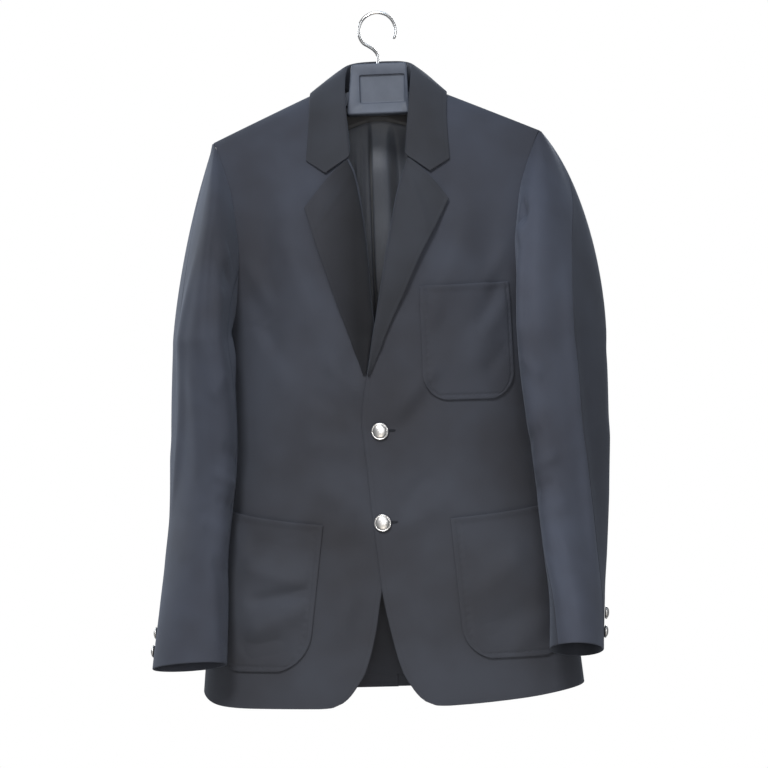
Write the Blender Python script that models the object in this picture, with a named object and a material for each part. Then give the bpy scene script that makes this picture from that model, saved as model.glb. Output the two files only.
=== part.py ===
"""School blazer hanging on a moulded hanger, as separate cut and sewn pieces.

Frame: metres, +Z up, the front faces -Y and the wearer's left is +X. The origin is the
inner top of the hanger's hook. The tables below are in millimetres. The garment's own
centre line lies GARMENT_X to the side of the hook, and the pieces are made about it.

The body is one surface, torso(x, station). A station is a row of TORSO counted from the
shoulder ridge, row 0, down to the hem. It is positive on the front and negative on the
back, so the two faces run into each other over the ridge. A level ring is a rounded
oblong, |x/a|^n + |y/f|^n = 1, and the upper rings sag towards the shoulder points.
"""
import math

import bpy
import bmesh
import numpy as np

MM = 0.001

# Cloth and seams
CLOTH = 2.0
FACING = 1.6
PATCH = 1.6
COLLAR_WALL = 1.8
SATIN = 1.0
SEAM = 0.3
LIE = 0.7
UNDERLAP = 4.2
VENT_LAP = 22.0
VENT_TOP = -560.0
VENT_GAP = 1.2
RING_POWER = 2.3
GARMENT_X = -5.0
NECK_X = 5.0

# Body: level of the ring at the centre, sag at the side, half width, front depth, back depth
TORSO = np.array((
    (-65, 86, 212, 0, 0),
    (-66, 86, 214, 13, 13),
    (-74, 84, 214, 25, 26),
    (-92, 80, 212, 37, 40),
    (-122, 71, 208, 50, 55),
    (-170, 55, 204, 64, 70),
    (-228, 36, 198, 76, 82),
    (-290, 15, 188, 85, 87),
    (-350, 4, 173, 88, 87),
    (-420, 0, 171, 88, 84),
    (-490, 0, 172, 87, 82),
    (-560, 0, 181, 88, 84),
    (-640, 0, 197, 89, 87),
    (-710, 0, 210, 90, 89),
    (-778, 0, 217, 91, 90),
), dtype=float)
HEM = len(TORSO) - 1
UNDERARM = 8.0
ROWS = np.arange(len(TORSO))

# Folds of the body: x at the top and at the foot, z of both, half width, height out of the
# cloth, and 1 for the front or -1 for the back
FOLDS = np.array((
    (130, 124, -180, -410, 17, -3.4, 1),
    (103, 95, -200, -350, 19, 2.2, 1),
    (-128, -120, -175, -430, 17, -3.8, 1),
    (-100, -86, -195, -370, 19, 2.4, 1),
    (-58, -98, -400, -575, 23, 2.4, 1),
    (66, 112, -430, -570, 23, 1.9, 1),
    (150, 172, -590, -880, 25, 2.8, 1),
    (-148, -174, -600, -880, 25, 3.0, 1),
    (112, 98, -150, -540, 20, -4.2, -1),
    (-114, -96, -145, -520, 20, -4.0, -1),
    (58, 50, -520, -880, 27, 3.2, -1),
    (-72, -80, -540, -880, 28, 3.4, -1),
    (134, 148, -560, -880, 26, -2.8, -1),
    (-140, -150, -560, -880, 26, -2.6, -1),
), dtype=float)
FOLD_FADE = 70.0
HEM_RISE = 13.0
HEM_RISE_POWER = (2.2, 20.0)

# Armhole: station, share of the half width that the front keeps, and the back
ARMHOLE = np.array((
    (0.0, 0.882, 0.882),
    (1.0, 0.870, 0.876),
    (2.0, 0.855, 0.868),
    (3.0, 0.840, 0.861),
    (4.0, 0.820, 0.855),
    (5.0, 0.792, 0.852),
    (6.0, 0.788, 0.862),
    (7.0, 0.838, 0.905),
    (7.6, 0.915, 0.955),
    (8.0, 1.0, 1.0),
))

# Front edges: level, x of the wearer's left front, x of the wearer's right front
FRONT_EDGES = np.array((
    (-65, 52, -42),
    (-92, 49.5, -39.5),
    (-125, 45, -35),
    (-158, 39.5, -29.5),
    (-180, 33, -21),
    (-208, 25, -15.5),
    (-240, 19, -11),
    (-285, 10.5, -7),
    (-326, 3, -5),
    (-364, -4, -1),
    (-400, -10, 5),
    (-430, -16, 12),
    (-460, -20, 18),
    (-500, -17, 18),
    (-560, -12, 16),
    (-610, -7, 8),
    (-650, -3, -3.5),
    (-697, 6, -12),
    (-738, 17, -24),
    (-756, 27, -35),
    (-767, 35.5, -44),
    (-774, 45, -54),
    (-777.2, 55, -64),
    (-778, 68, -77),
), dtype=float)

# Back neck: share of the back's width there, station of the top edge
BACK_NECK = np.array(((0.0, 2.9), (0.1, 2.7), (0.19, 1.7), (0.26, 0.0), (1.0, 0.0)))

# Lapel outer edges: share of the way down, x and z on the wearer's left, x and z on the right
LAPELS = np.array((
    (0.0, 83, -219, -77, -224),
    (0.3, 48, -282, -62, -268),
    (0.6, 22, -340, -47, -317),
    (0.85, -1, -392, -27, -380),
    (1.0, -9, -412, -17, -411),
), dtype=float)
LAPEL_TOP_Z = -170.5
LAPEL_FOOT_Z = (-409.0, -407.0)
LAPEL_TOP_BOW = 3.5
LAPEL_RISE = 8.0
LAPEL_LIE = 0.9
LAPEL_ROLL = 3.4

# Collar, from the centre back to the front end: x, y, z of the fold, then x and station
# of the fall's edge, then x and station of the stand's foot and how far it lies inside
# the body, with x from the neck's centre
COLLAR = np.array((
    (0, 34, -46, 0, -3.3, 0, -3.05, 6.5),
    (17, 32, -46.5, 34, -3.05, 17, -2.9, 6.0),
    (29, 22, -50, 60, -2.2, 34, -2.1, 5.0),
    (36, 5, -57, 74, -0.5, 46, -0.6, 3.6),
    (37, -16, -72, 77, 1.5, 45, 1.2, 3.6),
    (36, -38, -98, 77, 3.0, 41, 2.7, 3.6),
    (34, -54, -133, 78, 3.9, 35.5, 3.8, 3.6),
    (31.5, -64, -167, 80, 4.62, 32, 4.6, 3.6),
), dtype=float)
COLLAR_BOW = 17.0
COLLAR_BULGE = 2.6
NOTCH_SHARE = 0.54
COLLAR_FOLD = 3.5

# Sleeves from the armpit to the cuff: z, x, y, half length, half thickness of the oval,
# turn of its long axis from +X, slope of the ring from front to back, angle of the hind seam
SLEEVE_LEFT = np.array((
    (-366, 204, -40, 77, 31, 57, 0.00, 20),
    (-412, 206, -36, 74, 30, 55, 0.00, 17),
    (-470, 208.5, -32, 70, 29, 56, 0.02, 18),
    (-518, 210.5, -28, 67, 28, 59, 0.05, 16),
    (-560, 211, -32, 64, 27.5, 61, 0.09, 12),
    (-613, 211, -52, 60, 27, 66, 0.14, 5),
    (-660, 211, -75, 56, 27.5, 76, 0.20, 2),
    (-717, 208.5, -99, 51, 28.5, 86, 0.26, 0),
), dtype=float)
SLEEVE_RIGHT = np.array((
    (-366, 200.5, -46, 77, 31, 75, 0.00, 30),
    (-412, 202, -41, 74, 30, 67, 0.00, 8),
    (-470, 204, -35, 70.5, 29.5, 61, 0.02, -5),
    (-518, 206.5, -32, 67, 28.5, 59, 0.05, -17),
    (-560, 210, -34, 63.5, 28, 60, 0.09, -29),
    (-613, 214.5, -49, 58.7, 27.5, 57, 0.14, -42),
    (-660, 216.5, -63, 53.5, 28, 48, 0.20, -52),
    (-729, 221, -80, 49, 28, 34, 0.26, -62),
), dtype=float)
SLEEVE_HEAD_SEAM = ((0.0, 0.3, 0.6), (-58.0, -8.0, 22.0))
SLEEVE_FRONT_SEAM = ((0.0, 152.0), (0.6, 138.0), (1.5, 128.0), (8.0, 126.0))
SLEEVE_COLUMNS = 10
SEAM_DEGREES = 0.35
CAP_REACH = 0.34
CAP_TRIM = (0.0, 0.34)
CAP_LEAN = (0.03, 0.10)
CAP_START = 2.7

# Patch pockets: top z at the inner and outer end, foot z, inner x at the top and the foot,
# outer share of the half width, corner radius, belly
BREAST_POCKET = dict(top_in=-315, top_out=-311, foot=-441, in_top=48, in_foot=49,
                     out_top=146, out_foot=148, corner=30, belly=2.5)
POCKET_LEFT = dict(top_in=-571, top_out=-561, foot=-727, in_top=74, in_foot=86,
                   out_top=0.955, out_foot=0.955, corner=36, belly=4.5)
POCKET_RIGHT = dict(top_in=-575, top_out=-558, foot=-737, in_top=66, in_foot=88,
                    out_top=0.955, out_foot=0.955, corner=42, belly=4.5)

# Metal buttons: half width, height of the dome
BUTTON_RADIUS = 9.5
BUTTON_DOME = 5.5
BUTTON_HEIGHTS = (-473.0, -574.0)
CUFF_BUTTON_RADIUS = 7.0
CUFF_BUTTON_DOME = 4.5
CUFF_BUTTON_RISE = (20.0, 39.0)
CUFF_BUTTON_ANGLE = (-22.0, -74.0)

# Satin back lining
LINING_REACH = 0.93
LINING_FOOT = -762.0
LINING_FOLDS = 6
LINING_GAP = 3.6
LINING_FOLD_DEPTH = 3.6

# Hanger and hook
PANEL_TOP = -57.0
PANEL_FOOT = -115.0
PANEL_HALF_TOP = 30.5
PANEL_HALF_FOOT = 34.5
PANEL_FRONT = -15.0
PANEL_BACK = 3.0
PANEL_RIM = 6.5
PANEL_SINK = 3.0
ARM_TIP = 170.0
ARM_ROOT = 20.0
ARM_CLEAR = 1.9
ARM_COLLAR_CLEAR = 4.6
ARM_HEIGHT = 15.0
HOOK_WIRE = 1.8
HOOK_RADIUS = 21.0
HOOK_Y = -5.0

# Colours: linear red, green, blue
NAVY = (0.050, 0.056, 0.070, 1.0)
SATIN_GREY = (0.060, 0.068, 0.084, 1.0)
HANGER_GREY = (0.125, 0.145, 0.180, 1.0)
SILVER = (0.72, 0.71, 0.69, 1.0)


def smooth(xs, ys, x):
    """Value at x of a curve through the points that never overshoots between them."""
    xs = np.asarray(xs, float)
    ys = np.asarray(ys, float)
    if xs[0] > xs[-1]:
        xs, ys = xs[::-1], ys[::-1]
    step = np.diff(xs)
    rise = np.diff(ys) / step
    slope = np.empty(len(xs))
    slope[0], slope[-1] = rise[0], rise[-1]
    product = rise[:-1] * rise[1:]
    total = rise[:-1] + rise[1:]
    slope[1:-1] = np.where(product > 0, 2 * product / np.where(total == 0, 1, total), 0)
    x = np.clip(np.asarray(x, float), xs[0], xs[-1])
    i = np.clip(np.searchsorted(xs, x) - 1, 0, len(xs) - 2)
    t = (x - xs[i]) / step[i]
    return (ys[i] * (1 + 2 * t) * (1 - t) ** 2 + slope[i] * step[i] * t * (1 - t) ** 2
            + ys[i + 1] * t * t * (3 - 2 * t) + slope[i + 1] * step[i] * t * t * (t - 1))


def ease(x, low, high):
    """0 at low, 1 at high, with a smooth rise between."""
    t = np.clip((np.asarray(x, float) - low) / (high - low), 0, 1)
    return t * t * (3 - 2 * t)


def power(value, exponent):
    """Signed power, so that a rounded oblong runs on past its corners."""
    return np.sign(value) * np.abs(value) ** exponent


def ring(station):
    """Level, sag, half width, front depth and back depth at a station, front or back."""
    return [smooth(ROWS, TORSO[:, column], np.abs(station)) for column in range(5)]


def station_of(level):
    """Station whose ring has this level at the centre."""
    return smooth(TORSO[:, 0], ROWS, level)


def folds(x, z, face):
    """Height of the body's folds out of the cloth: soft ridges, or troughs below nought."""
    height = np.zeros(np.shape(x))
    for top_x, foot_x, top_z, foot_z, width, out, side in FOLDS:
        down = np.clip((z - top_z) / (foot_z - top_z), 0, 1)
        across = (x - top_x - (foot_x - top_x) * down) / width
        fade = ease(z, top_z, top_z - FOLD_FADE) * ease(z, foot_z, foot_z + FOLD_FADE)
        height = height + out * np.exp(-across ** 2) * fade * (face == side)
    return height


def torso(angle, station):
    """Point of the body: the angle runs from the centre line to the side, 90 degrees."""
    level, sag, half, front, back = ring(station)
    share = power(np.sin(angle), 2 / RING_POWER)
    round_off = power(np.cos(angle), 2 / RING_POWER)
    sagging = (np.sqrt(share ** 2 + 0.08 ** 2) - 0.08) / (math.sqrt(1 + 0.08 ** 2) - 0.08)
    depth = np.where(station >= 0, -front - SEAM / 2, back + SEAM / 2)
    x = half * share
    bend = np.where(share > 0, HEM_RISE_POWER[0], HEM_RISE_POWER[1])
    rise = HEM_RISE * np.abs(share) ** bend * ease(np.abs(station), HEM - 2, HEM)
    z = level - sag * sagging + rise
    face = np.where(station >= 0, 1.0, -1.0)
    swell = folds(x, z, face) * np.abs(round_off)
    return np.stack([x, depth * round_off - face * swell, z], -1)


def angle_of(x, station):
    """Angle round the ring at which the body has this x."""
    half = ring(station)[2]
    return np.arcsin(power(np.clip(x / half, -1, 1), RING_POWER / 2))


def outward(angle, station):
    """Unit normal of the body, out of the garment."""
    step = 0.004
    side = torso(angle + step, station) - torso(angle - step, station)
    face = np.where(station >= 0, 1.0, -1.0)
    reach = np.abs(station)
    low = face * np.clip(reach - 0.02, 0.0, HEM)
    high = face * np.clip(reach + 0.02, 0.0, HEM)
    down = torso(angle, high) - torso(angle, low)
    normal = np.cross(side, down) * -face[..., None]
    return normal / np.linalg.norm(normal, axis=-1, keepdims=True)


def on_body(x, station, lift):
    """Point at x on the body's ring, moved out by lift."""
    x, station = np.broadcast_arrays(np.asarray(x, float), np.asarray(station, float))
    angle = angle_of(x, station)
    return torso(angle, station) + outward(angle, station) * np.asarray(lift)[..., None]


def station_at(x, z):
    """Front station at which the body passes x at the height z."""
    low = np.zeros(np.broadcast(x, z).shape)
    high = np.full(low.shape, float(HEM))
    for _ in range(30):
        middle = (low + high) / 2
        above = on_body(x, middle, np.zeros(low.shape))[..., 2] > z
        low = np.where(above, middle, low)
        high = np.where(above, high, middle)
    return (low + high) / 2


def grid_normals(points):
    """Unit normals of a grid of points."""
    along = np.gradient(points, axis=0)
    across = np.gradient(points, axis=1)
    normal = np.cross(along, across)
    return normal / np.linalg.norm(normal, axis=-1, keepdims=True)


def material(name, colour, roughness, metallic=0.0):
    """Principled material of one colour."""
    made = bpy.data.materials.new(name)
    made.use_nodes = True
    shader = made.node_tree.nodes["Principled BSDF"]
    shader.inputs["Base Color"].default_value = colour
    shader.inputs["Roughness"].default_value = roughness
    shader.inputs["Metallic"].default_value = metallic
    made.diffuse_color = colour
    return made


def mesh_object(name, points, faces, made, centre_x=GARMENT_X):
    """Object from points in millimetres, with its faces turned outwards."""
    placed = (np.asarray(points).reshape(-1, 3) + (centre_x, 0, 0)) * MM
    mesh = bpy.data.meshes.new(name)
    mesh.from_pydata(placed.tolist(), [], faces)
    work = bmesh.new()
    work.from_mesh(mesh)
    bmesh.ops.recalc_face_normals(work, faces=work.faces)
    work.to_mesh(mesh)
    work.free()
    mesh.materials.append(made)
    mesh.shade_smooth()
    mesh.set_sharp_from_angle(angle=math.radians(50))
    built = bpy.data.objects.new(name, mesh)
    bpy.context.scene.collection.objects.link(built)
    return built


def wall(name, outer, inner, made):
    """Closed cloth wall between two grids of points, with its rim."""
    rows, columns = outer.shape[:2]
    count = rows * columns
    index = np.arange(count).reshape(rows, columns)
    faces = []
    for r in range(rows - 1):
        for c in range(columns - 1):
            face = (index[r, c], index[r, c + 1], index[r + 1, c + 1], index[r + 1, c])
            faces.append(tuple(int(i) for i in face))
            faces.append(tuple(int(i) + count for i in reversed(face)))
    rim = [*index[0], *index[1:, -1], *index[-1, -2::-1], *index[-2::-1, 0]]
    for a, b in zip(rim[:-1], rim[1:]):
        faces.append((int(a), int(b), int(b) + count, int(a) + count))
    return mesh_object(name, np.concatenate([outer.reshape(-1, 3), inner.reshape(-1, 3)]),
                       faces, made)


def front_edge(side, station):
    """x of a front's inner edge: side 1 is the wearer's left, -1 the right."""
    column = 1 if side > 0 else 2
    return smooth(FRONT_EDGES[:, 0], FRONT_EDGES[:, column], ring(station)[0])


def armhole_x(side, station):
    """x of the armhole or the side seam, front where the station is positive."""
    reach = np.abs(station)
    front = smooth(ARMHOLE[:, 0], ARMHOLE[:, 1], reach)
    back = smooth(ARMHOLE[:, 0], ARMHOLE[:, 2], reach)
    return side * ring(station)[2] * np.where(station >= 0, front, back)


def front_lift(side, x, station):
    """How far a front lies off the body: the right one sinks where the left laps over it."""
    if side > 0:
        return np.zeros(np.shape(x))
    level = ring(station)[0]
    lapped = ease(x, -52, -24) * ease(level, -320, -372) * (1 - ease(level, -690, -760))
    return -UNDERLAP * lapped


def front_rows():
    """Stations of a front's rows, closer at the shoulder and at the cutaway."""
    return np.concatenate([
        (0.0, 0.6, 1.3, 2.0, 2.8, 3.6, 4.4, 5.2, 6.0, 6.8, 7.4, 7.8),
        np.linspace(8.0, 12.0, 8), (12.6, 13.1, 13.5, 13.74, 13.88, 13.96, 14.0)])


def front_grid(side, rows, columns, thick):
    """Outer and inner points of a front between its edge and the armhole or side seam."""
    station = rows[:, None] + np.zeros(columns)
    first = angle_of(front_edge(side, station), station)
    last = angle_of(armhole_x(side, station), station)
    angle = first + (last - first) * np.linspace(0, 1, columns)
    x = torso(angle, station)[..., 0]
    lift = front_lift(side, x, station)[..., None]
    normal = outward(angle, station)
    outer = torso(angle, station) + normal * lift
    inner = torso(angle, station) + normal * (lift - thick)
    inner[..., 1] = np.minimum(inner[..., 1], -SEAM / 2)
    return outer, inner


def build_front(side, name, made):
    """One front, from the shoulder ridge to the hem, with its rounded cutaway."""
    outer, inner = front_grid(side, front_rows(), 11, CLOTH)
    return wall(name, outer, inner, made)


def build_back(side, name, made):
    """One back; the wearer's left one laps over the right below the top of the vent."""
    share = np.concatenate([np.linspace(0, 0.26, 5), np.linspace(0.26, 1.0, 8)[1:]])
    top = smooth(BACK_NECK[:, 0], BACK_NECK[:, 1], share)
    down = np.concatenate([(0.0, 0.05, 0.11, 0.18, 0.25, 0.33, 0.41, 0.49, 0.55),
                           np.linspace(0.6, 1.0, 9)])[:, None]
    station = -(top + (HEM - top) * down)
    level = ring(station)[0]
    lap = VENT_LAP * ease(level, VENT_TOP + 8, VENT_TOP - 2) if side > 0 else 0.0
    near = side * SEAM / 2 - lap
    first = angle_of(near, station)
    last = angle_of(armhole_x(side, station), station)
    angle = first + (last - first) * share
    x = torso(angle, station)[..., 0]
    lift = np.zeros(x.shape)
    if side > 0:
        lift = (CLOTH + VENT_GAP) * (1 - ease(x, 12, 42)) * ease(level, VENT_TOP + 90, VENT_TOP + 45)
    normal = outward(angle, station)
    outer = torso(angle, station) + normal * lift[..., None]
    inner = torso(angle, station) + normal * (lift[..., None] - CLOTH)
    inner[..., 1] = np.maximum(inner[..., 1], SEAM / 2)
    return wall(name, outer, inner, made)


def lapel_frame(side, rows, columns):
    """x and z of a lapel's points, from the roll line out to its edge and down to its foot."""
    down = np.linspace(0, 1, rows)[:, None]
    out = np.linspace(0, 1, columns)
    shift = 1 if side > 0 else 3
    edge_x = smooth(LAPELS[:, 0], LAPELS[:, shift], down)
    edge_z = smooth(LAPELS[:, 0], LAPELS[:, shift + 1], down)
    foot = LAPEL_FOOT_Z[0 if side > 0 else 1]
    roll_z = LAPEL_TOP_Z + (foot - LAPEL_TOP_Z) * down
    station = station_at(np.zeros(roll_z.shape), roll_z + LAPEL_RISE * (1 - down))
    roll_x = front_edge(side, station)
    if side < 0:
        roll_x = np.minimum(roll_x, front_edge(1, station) - 1.5)
    x = roll_x + (edge_x - roll_x) * out
    bow = LAPEL_TOP_BOW * 4 * out * (1 - out) * (1 - down) ** 3
    z = roll_z + (edge_z - roll_z) * out + bow
    return x, z, out, down


def lapel_lift(out):
    """Height of a lapel's inner face over the front: a soft roll just past the fold."""
    return LAPEL_LIE + LAPEL_ROLL * 3.08 * np.sqrt(out) * (1 - out) ** 1.5


def build_lapel(side, name, made):
    """Notch lapel: the facing turned out on the front."""
    x, z, out, _ = lapel_frame(side, 15, 7)
    station = station_at(x, z)
    lift = front_lift(side, x, station) + lapel_lift(out)
    inner = on_body(x, station, lift)
    outer = on_body(x, station, lift + FACING)
    return wall(name, outer, inner, made)


def collar_middle(sections):
    """Middle surface of the collar: foot of the stand, up over the fold, down the fall."""
    at = np.linspace(-1, 1, sections) * (len(COLLAR) - 1)
    side = np.where(at >= 0, 1.0, -1.0)
    row = np.abs(at)
    column = [smooth(np.arange(len(COLLAR)), COLLAR[:, c], row) for c in range(8)]
    fold = np.stack([side * column[0] + NECK_X, column[1], column[2]], -1)
    edge = on_body(side * column[3] + NECK_X, column[4], np.full(row.shape, LIE + 1.2))
    foot = on_body(side * column[5] + NECK_X, column[6], -column[7])
    away = outward(angle_of(side * column[3] + NECK_X, column[4]), column[4])
    bow = COLLAR_BOW * ease(row, 5.4, len(COLLAR) - 1) ** 1.5
    drop = np.stack([np.zeros(row.shape), -0.24 * bow, -bow], -1)

    def towards(target, share):
        return fold + (target - fold) * np.asarray(share)

    fall = np.linalg.norm(edge - fold, axis=-1, keepdims=True)
    stand = np.linalg.norm(foot - fold, axis=-1, keepdims=True)
    bend = np.minimum(COLLAR_FOLD / stand, 0.4)
    parts = [foot, towards(foot, 0.6), towards(foot, bend), fold, towards(edge, COLLAR_FOLD / fall)]
    for share in (0.3, 0.55, 0.8):
        span = NOTCH_SHARE if share < NOTCH_SHARE else 1 - NOTCH_SHARE
        peak = 1 - abs(share - NOTCH_SHARE) / span
        bulge = away * COLLAR_BULGE * math.sin(math.pi * share)
        parts.append(towards(edge, share) + drop * peak + bulge)
    parts.append(edge)
    return np.stack(parts, 1)


def build_collar(name, made):
    """Fall and stand in one folded wall round the neck."""
    middle = collar_middle(29)
    normal = grid_normals(middle)
    half = COLLAR_WALL / 2
    return wall(name, middle + normal * half, middle - normal * half, made)


def cap_curve(start, leave, end, rise, t):
    """Cubic from the armhole to the first ring, leaving and arriving along given ways."""
    one = start + leave
    two = end + rise
    return ((1 - t) ** 3 * start + 3 * (1 - t) ** 2 * t * one + 3 * (1 - t) * t * t * two
            + t ** 3 * end)


def sleeve_point(side, table, around, down):
    """Sleeve surface: around is degrees from the outer side to the front, down is 0 at the
    armhole, 1 at the first ring of the table and one more at each later ring."""
    angle = np.radians(around)
    row = np.clip(down - 1, 0, len(table) - 1)
    z, x, y, half_long, half_thick, turn, slope, _ = [
        smooth(np.arange(len(table)), table[:, c], row) for c in range(8)]
    turn = np.radians(turn)
    along_x, along_y = np.cos(turn), np.sin(turn)
    out, front = half_thick * np.cos(angle), -half_long * np.sin(angle)
    rel_x = along_y * out + along_x * front
    rel_y = -along_x * out + along_y * front
    tube = np.stack([side * (x + rel_x), y + rel_y, z - slope * rel_y], -1)
    turned = np.mod(around, 360.0)
    share = np.where(turned <= 180, turned, 360 - turned) / 180
    station = UNDERARM * share * np.where(turned <= 180, 1.0, -1.0)
    hole = on_body(armhole_x(side, station), station, np.full(station.shape, -CLOTH / 2))
    hole[..., 0] += side * CAP_START
    reach = np.linalg.norm(tube - hole, axis=-1, keepdims=True) * CAP_REACH
    ahead = np.clip(np.sin(angle), 0, 1)
    behind = np.clip(-np.sin(angle), 0, 1)
    outer_side = np.clip(np.cos(angle), 0, 1)
    trim = CAP_TRIM[0 if side > 0 else 1] * outer_side
    lean = CAP_LEAN[0 if side > 0 else 1] * outer_side
    leave = np.stack([side * (0.35 + 0.2 * np.cos(angle) - trim - 0.28 * ahead + 0.2 * behind),
                      0.25 * behind - 0.8 * ahead,
                      -0.5 - 0.25 * np.abs(np.cos(angle))], -1)
    rise = np.stack([-side * lean, 0 * share, np.full(share.shape, 0.95)], -1)
    cap = cap_curve(hole, leave * reach, tube, rise * reach, np.clip(down, 0, 1)[..., None])
    return np.where((down < 1)[..., None], cap, tube)


def sleeve_wall(side, table, around, down, lift):
    """Sleeve points moved out of the tube by lift."""
    step_a, step_d = 0.5, 0.01
    point = sleeve_point(side, table, around, down)
    across = (sleeve_point(side, table, around + step_a, down)
              - sleeve_point(side, table, around - step_a, down))
    low = np.clip(down - step_d, 0, len(table))
    high = np.clip(down + step_d, 0, len(table))
    along = sleeve_point(side, table, around, high) - sleeve_point(side, table, around, low)
    normal = np.cross(across, along) * side
    normal /= np.linalg.norm(normal, axis=-1, keepdims=True)
    return point + normal * lift


def hind_seam(table, down):
    """Angle of the hind-arm seam, which comes round from the back of the armhole."""
    rows = np.concatenate([SLEEVE_HEAD_SEAM[0], np.arange(1, len(table) + 1)])
    angles = np.concatenate([SLEEVE_HEAD_SEAM[1], table[:, 7]])
    return smooth(rows, angles, down)


def front_seam(down):
    """Angle of the front seam, which lies on the inner side."""
    rows, angles = np.array(SLEEVE_FRONT_SEAM).T
    return smooth(rows, angles, down)


def build_sleeve(side, table, name, part, made):
    """Top or under half of a two-piece sleeve, an open wall between its two seams."""
    down = np.concatenate([np.linspace(0, 1, 9)[:-1], np.linspace(1, len(table), 12)])[:, None]
    hind = hind_seam(table, down)
    front = front_seam(down)
    if part == "top":
        first, last = hind + SEAM_DEGREES, front - SEAM_DEGREES
    else:
        first, last = front + SEAM_DEGREES, hind + 360 - SEAM_DEGREES
    around = first + (last - first) * np.linspace(0, 1, SLEEVE_COLUMNS)
    down = down + 0 * around
    outer = sleeve_wall(side, table, around, down, CLOTH / 2)
    inner = sleeve_wall(side, table, around, down, -CLOTH / 2)
    return wall(name, outer, inner, made)


def pocket_edge(value, station):
    """Outer x of a pocket: a share of the half width where it is below 1, or a plain x."""
    return np.where(value < 1, ring(station)[2] * value, value)


def pocket_frame(side, size, rows, columns):
    """x and z of a patch pocket: straight mouth, sides drawn in at the rounded foot."""
    down = np.concatenate([np.linspace(0, 0.72, rows - 5), (0.8, 0.87, 0.93, 0.97, 1.0)])[:, None]
    over = np.linspace(0, 1, columns)
    height = size["top_in"] - size["foot"]
    left_to_foot = height * (1 - down)
    radius = size["corner"]
    short = np.clip(1 - left_to_foot / radius, 0, 1)
    draw = radius * (1 - np.sqrt(1 - short ** 2 * 0.985))
    inner = size["in_top"] + (size["in_foot"] - size["in_top"]) * down + draw
    guess = station_of(size["top_in"] + (size["foot"] - size["top_in"]) * down)
    outer = size["out_top"] + (size["out_foot"] - size["out_top"]) * down
    outer = pocket_edge(outer, guess) - draw
    station = guess + 0 * over
    first = angle_of(side * inner, station)
    last = angle_of(side * outer, station)
    angle = first + (last - first) * over
    x = torso(angle, station)[..., 0]
    tilt = (size["top_out"] - size["top_in"]) * over * (1 - down)
    z = size["top_in"] + (size["foot"] - size["top_in"]) * down + tilt
    return x, z, over, down


def build_pocket(side, size, name, made):
    """Patch pocket on a front, bellied a little towards its mouth."""
    x, z, over, down = pocket_frame(side, size, 12, 9)
    station = station_at(x, z)
    belly = size["belly"] * np.sin(np.pi * over) * (np.sin(np.pi * down * 0.92 + 0.25) ** 2)
    lift = front_lift(side, x, station) + LIE + np.abs(belly)
    return wall(name, on_body(x, station, lift + PATCH), on_body(x, station, lift), made)


def build_lining(name, made):
    """Satin lining inside the back, in soft vertical folds."""
    share = np.linspace(-1, 1, 29)
    level = np.concatenate([(-98, -122), np.linspace(-160, LINING_FOOT, 9)])[:, None]
    station = -station_of(level) + 0 * share
    reach = np.minimum(LINING_REACH, smooth(ARMHOLE[:, 0], ARMHOLE[:, 2], -station) - 0.05)
    angle = angle_of(share * reach * ring(station)[2], station)
    fold = LINING_FOLD_DEPTH * (0.5 - 0.5 * np.cos(np.pi * LINING_FOLDS * (share + 1)))
    fold = fold * ease(level, -80, -200) * (1 - share ** 4)
    lift = -(CLOTH + LINING_GAP) - fold
    normal = outward(angle, station)
    outer = torso(angle, station) + normal * lift[..., None]
    inner = outer - normal * SATIN
    return wall(name, outer, inner, made)


def turned_button(name, radius, dome, place, normal, made):
    """Domed button turned about its axis: flat back, rounded rim, low dome."""
    profile = [(0.0, 0.0), (radius * 0.82, 0.0), (radius * 0.97, dome * 0.16),
               (radius, dome * 0.34), (radius * 0.93, dome * 0.52)]
    profile += [(radius * math.cos(a) * 0.9, dome * (0.52 + 0.48 * math.sin(a)))
                for a in np.radians((20, 45, 68))]
    profile.append((0.0, dome))
    sides = 20 if radius > 8 else 10
    axis = np.asarray(normal) / np.linalg.norm(normal)
    side_way = np.cross(axis, (0.0, 0.0, 1.0))
    side_way /= np.linalg.norm(side_way)
    up_way = np.cross(side_way, axis)
    points = [place]
    for r, h in profile[1:-1]:
        for k in range(sides):
            a = 2 * math.pi * k / sides
            points.append(place + axis * h + (side_way * math.cos(a) + up_way * math.sin(a)) * r)
    points.append(place + axis * profile[-1][1])
    faces = []
    last_ring = len(profile) - 3
    for k in range(sides):
        n = (k + 1) % sides
        faces.append((0, 1 + n, 1 + k))
        for level in range(last_ring):
            low, high = 1 + level * sides, 1 + (level + 1) * sides
            faces.append((low + k, low + n, high + n, high + k))
        top = 1 + last_ring * sides
        faces.append((top + k, top + n, len(points) - 1))
    return mesh_object(name, points, faces, made)


def build_front_buttons(made):
    """The two front buttons, on the left front's centre line."""
    for name, height in zip(("button_top", "button_lower"), BUTTON_HEIGHTS):
        station = station_at(np.zeros(1), np.full(1, height))
        angle = angle_of(np.zeros(1), station)
        place = on_body(np.zeros(1), station, np.full(1, 0.4))[0]
        turned_button(name, BUTTON_RADIUS, BUTTON_DOME, place, outward(angle, station)[0], made)


def build_cuff_buttons(side, table, label, made):
    """Two small buttons in line above a cuff, at the back of the sleeve."""
    around = np.full(1, CUFF_BUTTON_ANGLE[0 if side > 0 else 1])
    for number, rise in enumerate(CUFF_BUTTON_RISE, 1):
        down = np.full(1, len(table) - rise / abs(table[-1, 0] - table[-2, 0]))
        inner = sleeve_wall(side, table, around, down, 0.0)[0]
        place = sleeve_wall(side, table, around, down, CLOTH / 2 + 0.5)[0]
        turned_button(f"cuff_button_{label}_{number}", CUFF_BUTTON_RADIUS, CUFF_BUTTON_DOME,
                      place, place - inner, made)


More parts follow.
